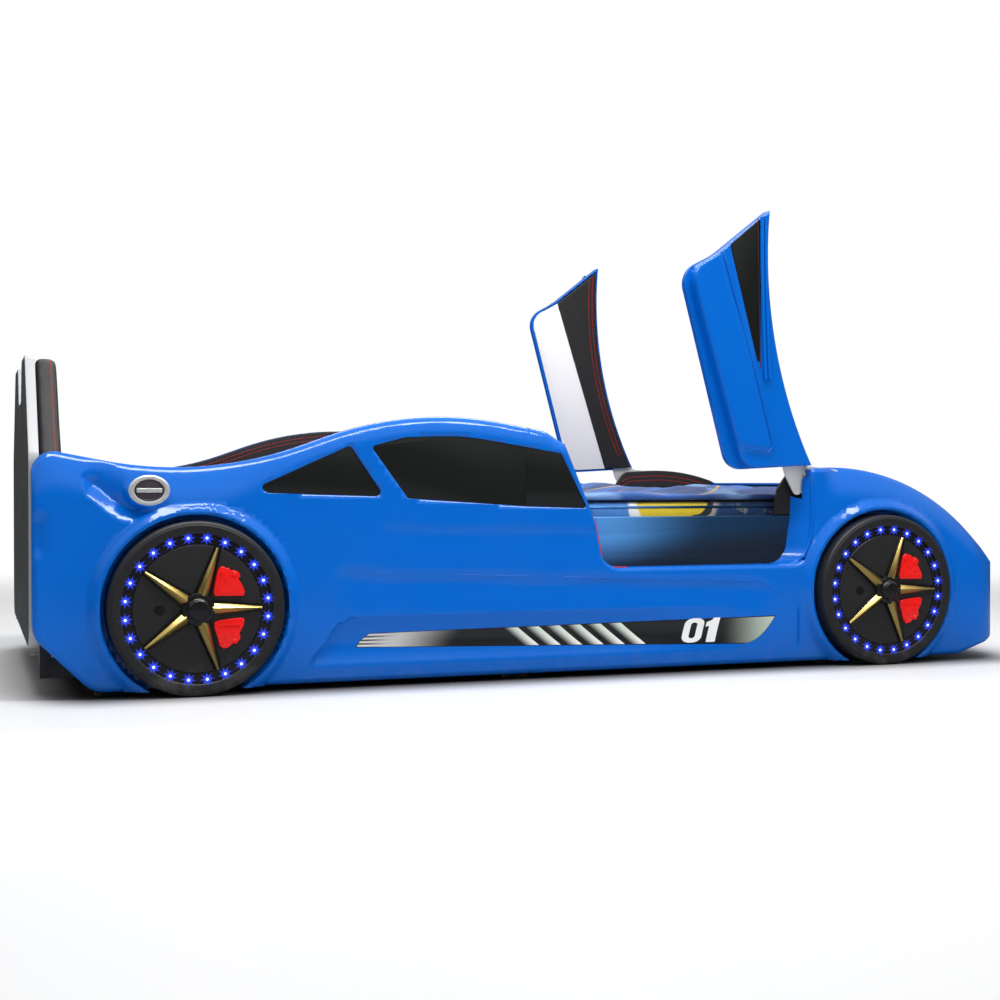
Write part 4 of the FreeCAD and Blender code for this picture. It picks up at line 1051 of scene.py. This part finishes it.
def makeHubCap(centre):
    bm = bmesh.new()
    rim, face = wheel["cap"], wheel["capFace"]
    spun(bm, [(0.0, face), (rim * 0.55, face + 0.0002), (rim * 0.74, face + 0.0007),
              (rim * 0.78, face + 0.0019), (rim * 0.88, face + 0.0029), (rim, face + 0.0057),
              (rim + 0.0008, face + 0.0095)], centre, 48)
    return bm


def makeCalipers(centre):
    bm = bmesh.new()
    face = wheel["discY"]
    for outline in (wheel["caliperHigh"], wheel["caliperLow"]):
        part = bmesh.new()
        base = part.faces.new([part.verts.new((centre[0] + x / 1000, face + 0.001, centre[1] + z / 1000))
                               for x, z in outline])
        raised = ops.extrude_face_region(part, geom=[base])["geom"]
        tops = vertsOf(raised)
        ops.translate(part, verts=tops, vec=(0, -0.0062, 0))
        ops.recalc_face_normals(part, faces=part.faces)
        rim = [e for e in part.edges if all(v in tops for v in e.verts)]
        bevelled(part, rim, 0.0022, 3)
        joined(bm, part)
        lean = 1 if outline[0][1] > 0 else -1
        middle = (centre[0] + 0.057, centre[1] + lean * 0.050)
        for across, up, size, tall in ((0.016, 0.016, 0.0052, 0.0016), (-0.012, 0.022, 0.0030, 0.0020),
                                       (-0.004, 0.006, 0.0022, 0.0014), (0.010, -0.004, 0.0026, 0.0016),
                                       (-0.016, -0.008, 0.0024, 0.0012), (0.024, -0.016, 0.0028, 0.0012)):
            place = (middle[0] + across, face - 0.0055 - tall / 2, middle[1] + up * lean)
            addStud(bm, place, size, size * 0.72, tall, 14)
        addBox(bm, (centre[0] + 0.058, face - 0.0058, centre[1] + lean * 0.0315), (0.044, 0.0018, 0.0034))
    return bm


def makeLampGlow():
    # white lamp cores with a painted blue star of glow round each, at even steps round both wheels of a side
    g, given, out = newGroup("lampGlow", [("Count", "Float", 24.0), ("Radius", "Float", 0.1415)],
                             [("Colour", "Color")])
    x, y, z = g.split(g.place())
    toRear = g.math("LESS_THAN", x, 0.0)
    rear, front = car["wheelX"]
    centre = g.plus(g.times(toRear, rear - front), front)
    dx = g.minus(x, centre)
    dz = g.minus(z, car["wheelZ"])
    radius = g.far(dx, dz)
    turns = g.times(g.math("DIVIDE", g.math("ARCTAN2", dz, dx), 2 * pi), given["Count"])
    share = g.minus(g.math("FRACT", turns), 0.5)
    across = g.times(g.math("DIVIDE", g.times(share, 2 * pi), given["Count"]), radius)
    outwards = g.minus(radius, given["Radius"])
    gap = g.far(across, outwards)
    angle = g.math("ARCTAN2", across, outwards)
    rays = g.math("POWER", g.math("ABSOLUTE", g.math("COSINE", g.times(angle, 4.0))), 5.0)
    reach = g.plus(0.0095, g.times(rays, 0.0065))
    # painted glow: the star-shaped halo round each lamp core
    halo = g.math("POWER", g.minus(1.0, g.math("DIVIDE", gap, reach), clamp=True), 1.3)
    core = g.minus(1.0, g.ramp(gap, 0.0017, 0.0032))
    glow = g.mix(halo, (0.0, 0.0, 0.0, 1), (0.03, 0.07, 1.0, 1))
    return g.send(out, Colour=g.mix(core, glow, (0.75, 0.85, 1.0, 1)))


lampGlow = makeLampGlow()


def makeTyreFinish():
    # the tyre's rubber with painted glow: it emits the lamps' halos where they spill over its groove
    mat = rubber.copy()
    mat.name = "tyreLit"
    g = Graph(mat.node_tree)
    shader = mat.node_tree.nodes["Principled BSDF"]
    # painted glow: the rubber itself emits the lamps' halos
    shader.inputs["Emission Strength"].default_value = 1.2
    g.feed(shader, "Emission Color", g.group(lampGlow, {}).outputs["Colour"])
    return mat


def makeLampRing():
    mat, g, shader = newMaterial("lampRing", Base_Color=(0.008, 0.008, 0.010, 1), Roughness=0.12,
                                 Specular_IOR_Level=0.45, Emission_Strength=2.4)
    g.feed(shader, "Emission Color", g.group(lampGlow, {}).outputs["Colour"])
    cells = g.noise(g.place(), 70.0, 1.0)
    g.feed(shader, "Roughness", g.plus(0.06, g.times(cells, 0.3)))
    g.feed(shader, "Normal", g.bump(cells, 0.15, 0.002))
    return mat


def makeWheels():
    lampRing = makeLampRing()
    tyreLit = makeTyreFinish()
    for name, x in zip(("rear", "front"), car["wheelX"]):
        centre = (x, car["wheelZ"])
        for side in sides:
            # the tyres carry painted glow from the lamps
            parts = (("tyre", makeTyre, "tyre_black", tyreLit, 30, [f"wheel_{name}_{side}"]),
                     ("wheelRidges", makeRidges, "tyre_black", ridgeBlack, 30, []),
                     # painted highlights on the ridges' edges
                     ("wheelRidgeEdges", makeRidgeEdges, "tyre_black", edgeGrey, 60, []),
                     ("wheelBlades", makeBlades, "spoke_gold", gold, 30, [f"spokes_{name}_{side}"]),
                     ("wheelHub", makeHub, "hub_black", hubBlack, 35, []),
                     ("hubCap", makeHubCap, "hub_black", hubBlack, 35, ["hub_caps"]),
                     ("calipers", makeCalipers, "caliper_red", red, 40, ["brake_calipers"]))
            for kind, build, slotName, mat, smooth, replaced in parts:
                sidePiece(kind + name.capitalize(), side, build(centre), "bed", slotName, mat, smooth=smooth,
                          replaced=replaced)
    for materialSlot in nodes["light_rings"].material_slots:
        materialSlot.material = lampRing


makeWheels()
print("wheels made")


# doors: the outer panels get their bulge, ridge and window moulding
door = {
    "step": 0.010, "wide": (-0.045, 0.575), "high": (0.24, 0.505), "skin": 0.012,
    "bulge": [(0.02, 0.353), (0.150, 0.360), (0.325, 0.366), (0.470, 0.367)], "bulgeProud": 0.0045,
    "bulgeEnd": [(0.500, 0.352), (0.487, 0.325), (0.480, 0.295), (0.455, 0.270)], "ridgeProud": 0.0018,
    "moulding": [(-0.018, 0.480), (0.060, 0.459), (0.150, 0.437), (0.245, 0.415), (0.342, 0.394)],
    "piping": [(-0.017, 0.4655), (0.315, 0.3835)], "mouldingHalf": 0.0046, "mouldingTwin": 0.0050,
    "bead": 0.0016,
    "beadLine": [(0.036, 0.350), (0.045, 0.358), (0.149, 0.361), (0.325, 0.367), (0.470, 0.369),
                 (0.500, 0.366), (0.503, 0.345), (0.488, 0.329), (0.485, 0.302)],
}


def doorTurn(opening):
    x, z = car["pivot"]
    place = Matrix.Translation((x, 0, z))
    return place @ Matrix.Rotation(car["doorAngle"] * (1 if opening else -1), 4, "Y") @ place.inverted()


def doorProud(x, z):
    # how far the outer face stands out of the plain panel
    below = along(door["bulge"], x) - z
    endGap = along([(point[1], point[0]) for point in reversed(door["bulgeEnd"])], z) - x
    inside = min(below, endGap)
    ridge = door["ridgeProud"] * max(0.0, 1 - abs(inside - 0.004) / 0.006)
    return door["bulgeProud"] * blendStep(inside, -0.003, 0.005) + ridge


def makeDoors():
    for side in sides:
        node = f"door_shell_{side}"
        bm = mirrored(copyOfNode(node), side)
        ops.transform(bm, matrix=doorTurn(False), verts=bm.verts)
        gridCut(bm, 0, *door["wide"], door["step"])
        gridCut(bm, 2, *door["high"], door["step"])
        for vert in bm.verts:
            x, y, z = vert.co
            share = max(0.0, min(1.0, (car["faceY"] + door["skin"] - y) / door["skin"]))
            vert.co.y -= doorProud(x, z) * share
        ops.transform(bm, matrix=doorTurn(True), verts=bm.verts)
        piece = sidePiece("doorPanel", side, bm, "door_" + side, "body_blue", paint, smooth=34,
                          replaced=[node])
        addModifier(piece, "WEIGHTED_NORMAL", keep_sharp=True)


def makeDoorMouldings():
    # a double rib under the window, drawn on the closed door
    y = car["faceY"] - door["bulgeProud"] + 0.0012
    for side in sides:
        bm = bmesh.new()
        for across in (-door["mouldingTwin"], door["mouldingTwin"]):
            addTube(bm, [(x, y, z + across) for x, z in door["moulding"]], door["mouldingHalf"], rings=3)
        addTube(bm, [(x, y - 0.0008, z) for x, z in door["beadLine"]], door["bead"])
        piping = bmesh.new()
        addTube(piping, [(x, car["faceY"] + 0.0002, z) for x, z in door["piping"]], 0.0012, order=2)
        for name, made, slotName, mat in (("doorMoulding", bm, "body_blue", paint),
                                          ("doorWindowPiping", piping, "window_black", stitchDark)):
            ops.transform(made, matrix=doorTurn(True), verts=made.verts)
            sidePiece(name, side, made, "door_" + side, slotName, mat, smooth=50)


makeDoors()
makeDoorMouldings()
print("doors made")


def makeFillerCaps():
    x, z = cap["place"]
    face = car["faceY"]
    wide = cap["half"][0] / cap["half"][1]
    full = cap["half"][1]
    inner = full - cap["bezel"]
    for side in sides:
        bezel = bmesh.new()
        spun(bezel, [(full, face), (full, face - 0.0030), (full - 0.0010, face - 0.0046),
                     (full - 0.0028, face - 0.0054), (inner + 0.0028, face - 0.0058),
                     (inner + 0.0010, face - 0.0050), (inner, face - 0.0026), (inner, face), (full, face)],
             (x, z), 64)
        lid = bmesh.new()
        spun(lid, [(0.0, face), (0.0, face - 0.0026), (inner * 0.8, face - 0.0024),
                   (inner * 0.85, face - 0.0016), (inner * 0.9, face - 0.0024),
                   (inner + 0.0004, face - 0.0022), (inner + 0.0004, face)], (x, z), 64)
        for bm in (bezel, lid):
            ops.scale(bm, verts=bm.verts, vec=(wide, 1, 1), space=Matrix.Translation((-x, 0, -z)))
        bar = bmesh.new()
        addBox(bar, (x, face - 0.0038, z), (cap["grip"][0], 0.0036, cap["grip"][1]))
        bevelled(bar, bar.edges[:], 0.0012, 3)
        joined(bezel, bar)
        for index in range(cap["screws"]):
            angle = 2 * pi * (index + 0.5) / cap["screws"]
            screw = (x + cap["screwRing"] * wide * cos(angle), z + cap["screwRing"] * sin(angle))
            spun(bezel, [(0.0, face - 0.0068), (0.0010, face - 0.0066), (0.0016, face - 0.0050),
                         (0.0, face - 0.0050)], screw, 10)
        for bm in (bezel, lid):
            ops.recalc_face_normals(bm, faces=bm.faces)
        sidePiece("capBezel", side, bezel, "bed", "chrome", chrome, replaced=["filler_cap_" + side])
        sidePiece("capLid", side, lid, "bed", "chrome", lidGrey)


makeFillerCaps()
print("filler caps made")


# plates, boards and fittings keep their shape and get the softened edges of the real ones
softEdges = {
    "side_window_rear_*": 0.0006, "side_window_front_*": 0.0006, "quarter_window_*": 0.0006,
    "door_window_*": 0.0006, "door_card_*": 0.0006, "hinge_arm_*": 0.0008, "hinge_brackets": 0.0006,
    "hinge_pins": 0.0006, "side_rail_*": 0.0020, "foot_board": 0.0020, "headboard_panel": 0.0020,
    "headboard_edge": 0.0012, "nose_shell": 0.0030, "headlamps": 0.0020, "grille": 0.0012, "slats": 0.0012,
    "slat_bearers": 0.0020, "centre_beam": 0.0020, "centre_legs": 0.0020, "rail_feet": 0.0020,
    "corner_brackets": 0.0006, "lamp_control_box": 0.0010,
}


def bodyOf(node):
    for side in sides:
        if node.endswith(side) and node.startswith(("door_", "hinge_arm")):
            return "door_" + side
    return "bed"


def camel(node):
    first, *others = node.split("_")
    return first + "".join(each.capitalize() for each in others)


def softenEdges():
    # a star stands for the two sides
    for node, width in [(name.replace("*", side), width) for name, width in softEdges.items()
                        for side in (sides if "*" in name else ("",))]:
        bm = copyOfNode(node)
        if node.startswith("side_window_front"):
            for vert in bm.verts:
                vert.co.x -= 0.0010 if vert.co.x < -0.126 else 0.0
        bevelled(bm, sharpEdges(bm), width, 2, offset_type="OFFSET", clamp_overlap=True)
        slotName = slotOf[node]
        newPiece(camel(node), bm, bodyOf(node), slotName, finishes[slotName], smooth=32, replaced=[node])


softenEdges()
print("edges softened")


# leather sheets inside the shells and the doors, with a double row of red thread
lining = {
    "rows": {"quarter_lining": (0.012, 0.022), "fender_lining": (0.016, 0.028), "door_trim": (0.012, 0.023)},
    "step": 0.020, "face": 0.462, "trimFace": 0.4725, "round": 0.0030,
    "quarter": (-1.075, 0.015), "fender": (0.535, 0.820), "trim": (-0.030, 0.510),
}


def makeLining(kind, start, stop, body, face, closed=None):
    for side, sign in sides.items():
        node = f"{kind}_{side}"
        bm = copyOfNode(node)
        measured = bm.copy()
        if closed:
            ops.transform(measured, matrix=doorTurn(False), verts=measured.verts)
        line = topLine(measured, start, stop, lining["step"])
        measured.free()
        rims = [e for e in sharpEdges(bm) if all(abs(abs(v.co.y) - face) < 0.0016 for v in e.verts)]
        bevelled(bm, rims, lining["round"], 3, offset_type="OFFSET", clamp_overlap=True)
        name = camel(node)
        newPiece(name, bm, body.format(side), "lining_leather", blackLeather, smooth=40, replaced=[node])
        thread = bmesh.new()
        for drop in lining["rows"][kind]:
            places = smoothLine([(x, sign * (face - 0.0001), z - drop) for x, z in line])
            addStitches(thread, places, length=0.0066, thick=0.0020)
        if closed:
            ops.transform(thread, matrix=doorTurn(True), verts=thread.verts)
        newPiece(name + "Thread", thread, body.format(side), "lining_leather", stitchRed, smooth=60)


makeLining("quarter_lining", *lining["quarter"], "bed", lining["face"])
makeLining("fender_lining", *lining["fender"], "bed", lining["face"])
makeLining("door_trim", *lining["trim"], "door_{}", lining["trimFace"], closed=True)
print("linings stitched")


# soft pieces: blown up as cloth from a slightly smaller shape
def puffed(bm, pressure, reach, low, high, voxel=0.0):
    # reach is the furthest that a point may move; low and high are the corners of the space it has;
    # a voxel size remeshes the shape first and smooths it at the end
    mesh = bpy.data.meshes.new("puffed")
    bm.to_mesh(mesh)
    bm.free()
    piece = bpy.data.objects.new("puffed", mesh)
    scene.collection.objects.link(piece)
    if voxel:
        addModifier(piece, "REMESH", mode="VOXEL", voxel_size=voxel)
        evaluated = piece.evaluated_get(bpy.context.evaluated_depsgraph_get())
        mesh = bpy.data.meshes.new_from_object(evaluated)
        piece.modifiers.clear()
        piece.data = mesh
    moved = [v.co.copy() for v in mesh.vertices]
    cloth = addModifier(piece, "CLOTH")
    cloth.settings.use_pressure = True
    cloth.settings.uniform_pressure_force = pressure
    cloth.settings.effector_weights.gravity = 0
    cloth.settings.quality = 4
    for index in range(1, 21):
        scene.frame_set(index)
    evaluated = piece.evaluated_get(bpy.context.evaluated_depsgraph_get())
    blown = evaluated.to_mesh()
    moved = [v.co.copy() for v in blown.vertices]
    evaluated.to_mesh_clear()
    piece.modifiers.clear()
    scene.frame_set(1)
    made = bmesh.new()
    made.from_mesh(mesh)
    for vert, place in zip(made.verts, moved):
        shift = place - vert.co
        if shift.length > reach:
            shift *= reach / shift.length
        vert.co += shift
        vert.co = [min(max(value, least), most) for value, least, most in zip(vert.co, low, high)]
    bpy.data.objects.remove(piece)
    bpy.data.meshes.remove(mesh)
    if voxel:
        ops.smooth_vert(made, verts=made.verts, factor=0.5, use_axis_x=True, use_axis_y=True, use_axis_z=True)
    return made


pad = {"voxel": 0.008, "pressure": 3.5, "reach": 0.005, "thread": -1.1035}


def makeHeadboardPad():
    bm = copyOfNode("headboard_pad")
    low, high = [Vector(corner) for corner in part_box("headboard_pad")]
    middle = (low + high) / 2
    ops.scale(bm, verts=bm.verts, vec=(0.95, 0.992, 0.985), space=Matrix.Translation(-middle))
    bm = puffed(bm, pad["pressure"], pad["reach"], low, high, pad["voxel"])
    outline = sectionLoop(bm, (pad["thread"], 0, 0), (1, 0, 0))
    outline = [place for place in outline if place.z > low.z + 0.012]
    piece = newPiece("headboardPad", bm, "bed", "pad_leather", padLeather, smooth=60,
                     replaced=["headboard_pad"])
    thread = bmesh.new()
    addStitches(thread, outline, pitch=0.0088, length=0.0066, thick=0.0018)
    newPiece("headboardThread", thread, "bed", "pad_leather", stitchRed, smooth=60)


bedding = {
    "voxel": 0.014, "pressure": 4.0, "reach": 0.008, "slack": 0.010, "corner": 0.040, "edge": 0.020,
    "piping": 0.0035, "inset": 0.016, "quiltStep": 0.012, "quiltReach": 0.010, "quiltThick": 0.014,
    "quiltCorner": 0.05, "quiltEdge": 0.005, "wave": 0.0200, "trough": -0.006, "overhang": 0.019,
    "droop": (0.426, 0.024, 0.0085),
}


def makeMattress():
    low, high = [Vector(corner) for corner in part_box("mattress")]
    bm = bmesh.new()
    addBox(bm, (low + high) / 2, [value - bedding["slack"] for value in high - low])
    upright = [e for e in bm.edges if abs(e.verts[0].co.z - e.verts[1].co.z) > 0.05]
    bevelled(bm, upright, bedding["corner"], 8)
    rims = sharpEdges(bm, 60)
    bevelled(bm, rims, bedding["edge"], 5)
    bm = puffed(bm, bedding["pressure"], bedding["reach"], low, high, bedding["voxel"])
    inset = bedding["inset"]
    loops = [sectionLoop(bm, (0, 0, z), (0, 0, 1)) for z in (low.z + inset, high.z - inset)]
    piece = newPiece("mattressFoam", bm, "bed", "mattress_print", mattressCloth, smooth=60,
                     replaced=["mattress"])
    piping = bmesh.new()
    for loop in loops:
        inwards = [(place.x, place.y * 0.9985, place.z) for place in loop[::2]]
        addTube(piping, inwards + inwards[:1], bedding["piping"], steps=2, rings=1)
    # the piping takes the rail's blue with its painted shade
    newPiece("mattressPiping", piping, "bed", "mattress_print", railBlue, smooth=60)


def makeQuilt():
    low, high = [Vector(corner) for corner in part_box("quilt")]
    low.y, high.y = low.y - bedding["overhang"], high.y + bedding["overhang"]
    size = high - low
    thick = bedding["quiltThick"]
    bm = bmesh.new()
    addBox(bm, ((low.x + high.x) / 2, 0, low.z + thick / 2), (size.x - 0.012, size.y - 0.012, thick))
    upright = [e for e in bm.edges if abs(e.verts[0].co.z - e.verts[1].co.z) > 0.005]
    bevelled(bm, upright, bedding["quiltCorner"], 8)
    rims = sharpEdges(bm, 60)
    bevelled(bm, rims, bedding["quiltEdge"], 2)
    gridCut(bm, 0, low.x + 0.02, high.x - 0.02, bedding["quiltStep"])
    gridCut(bm, 1, low.y + 0.02, high.y - 0.02, bedding["quiltStep"])
    ops.triangulate(bm, faces=[f for f in bm.faces if len(f.verts) > 4])
    bm = puffed(bm, bedding["pressure"], bedding["quiltReach"], low, high + Vector((0, 0, 0.006)))
    start, run, fall = bedding["droop"]
    for vert in bm.verts:
        rim = min(vert.co.x - low.x, high.x - vert.co.x, vert.co.y - low.y, high.y - vert.co.y)
        lift = blendStep(vert.co.z, low.z + 0.004, low.z + 0.012) * blendStep(rim, 0.0, 0.05)
        swell = noise(Vector((vert.co.x * 6.5, vert.co.y * 3.0, 0.3))) + 0.4 * noise(vert.co * 17)
        vert.co.z += max(bedding["trough"], bedding["wave"] * swell) * lift
        vert.co.z -= fall * (max(0.0, abs(vert.co.y) - start) / run) ** 2
    piece = newPiece("quiltCover", bm, "bed", "quilt_blue", quiltCloth, smooth=70, replaced=["quilt"])


makeHeadboardPad()
print("headboard upholstered")
makeMattress()
makeQuilt()
print("bedding made")
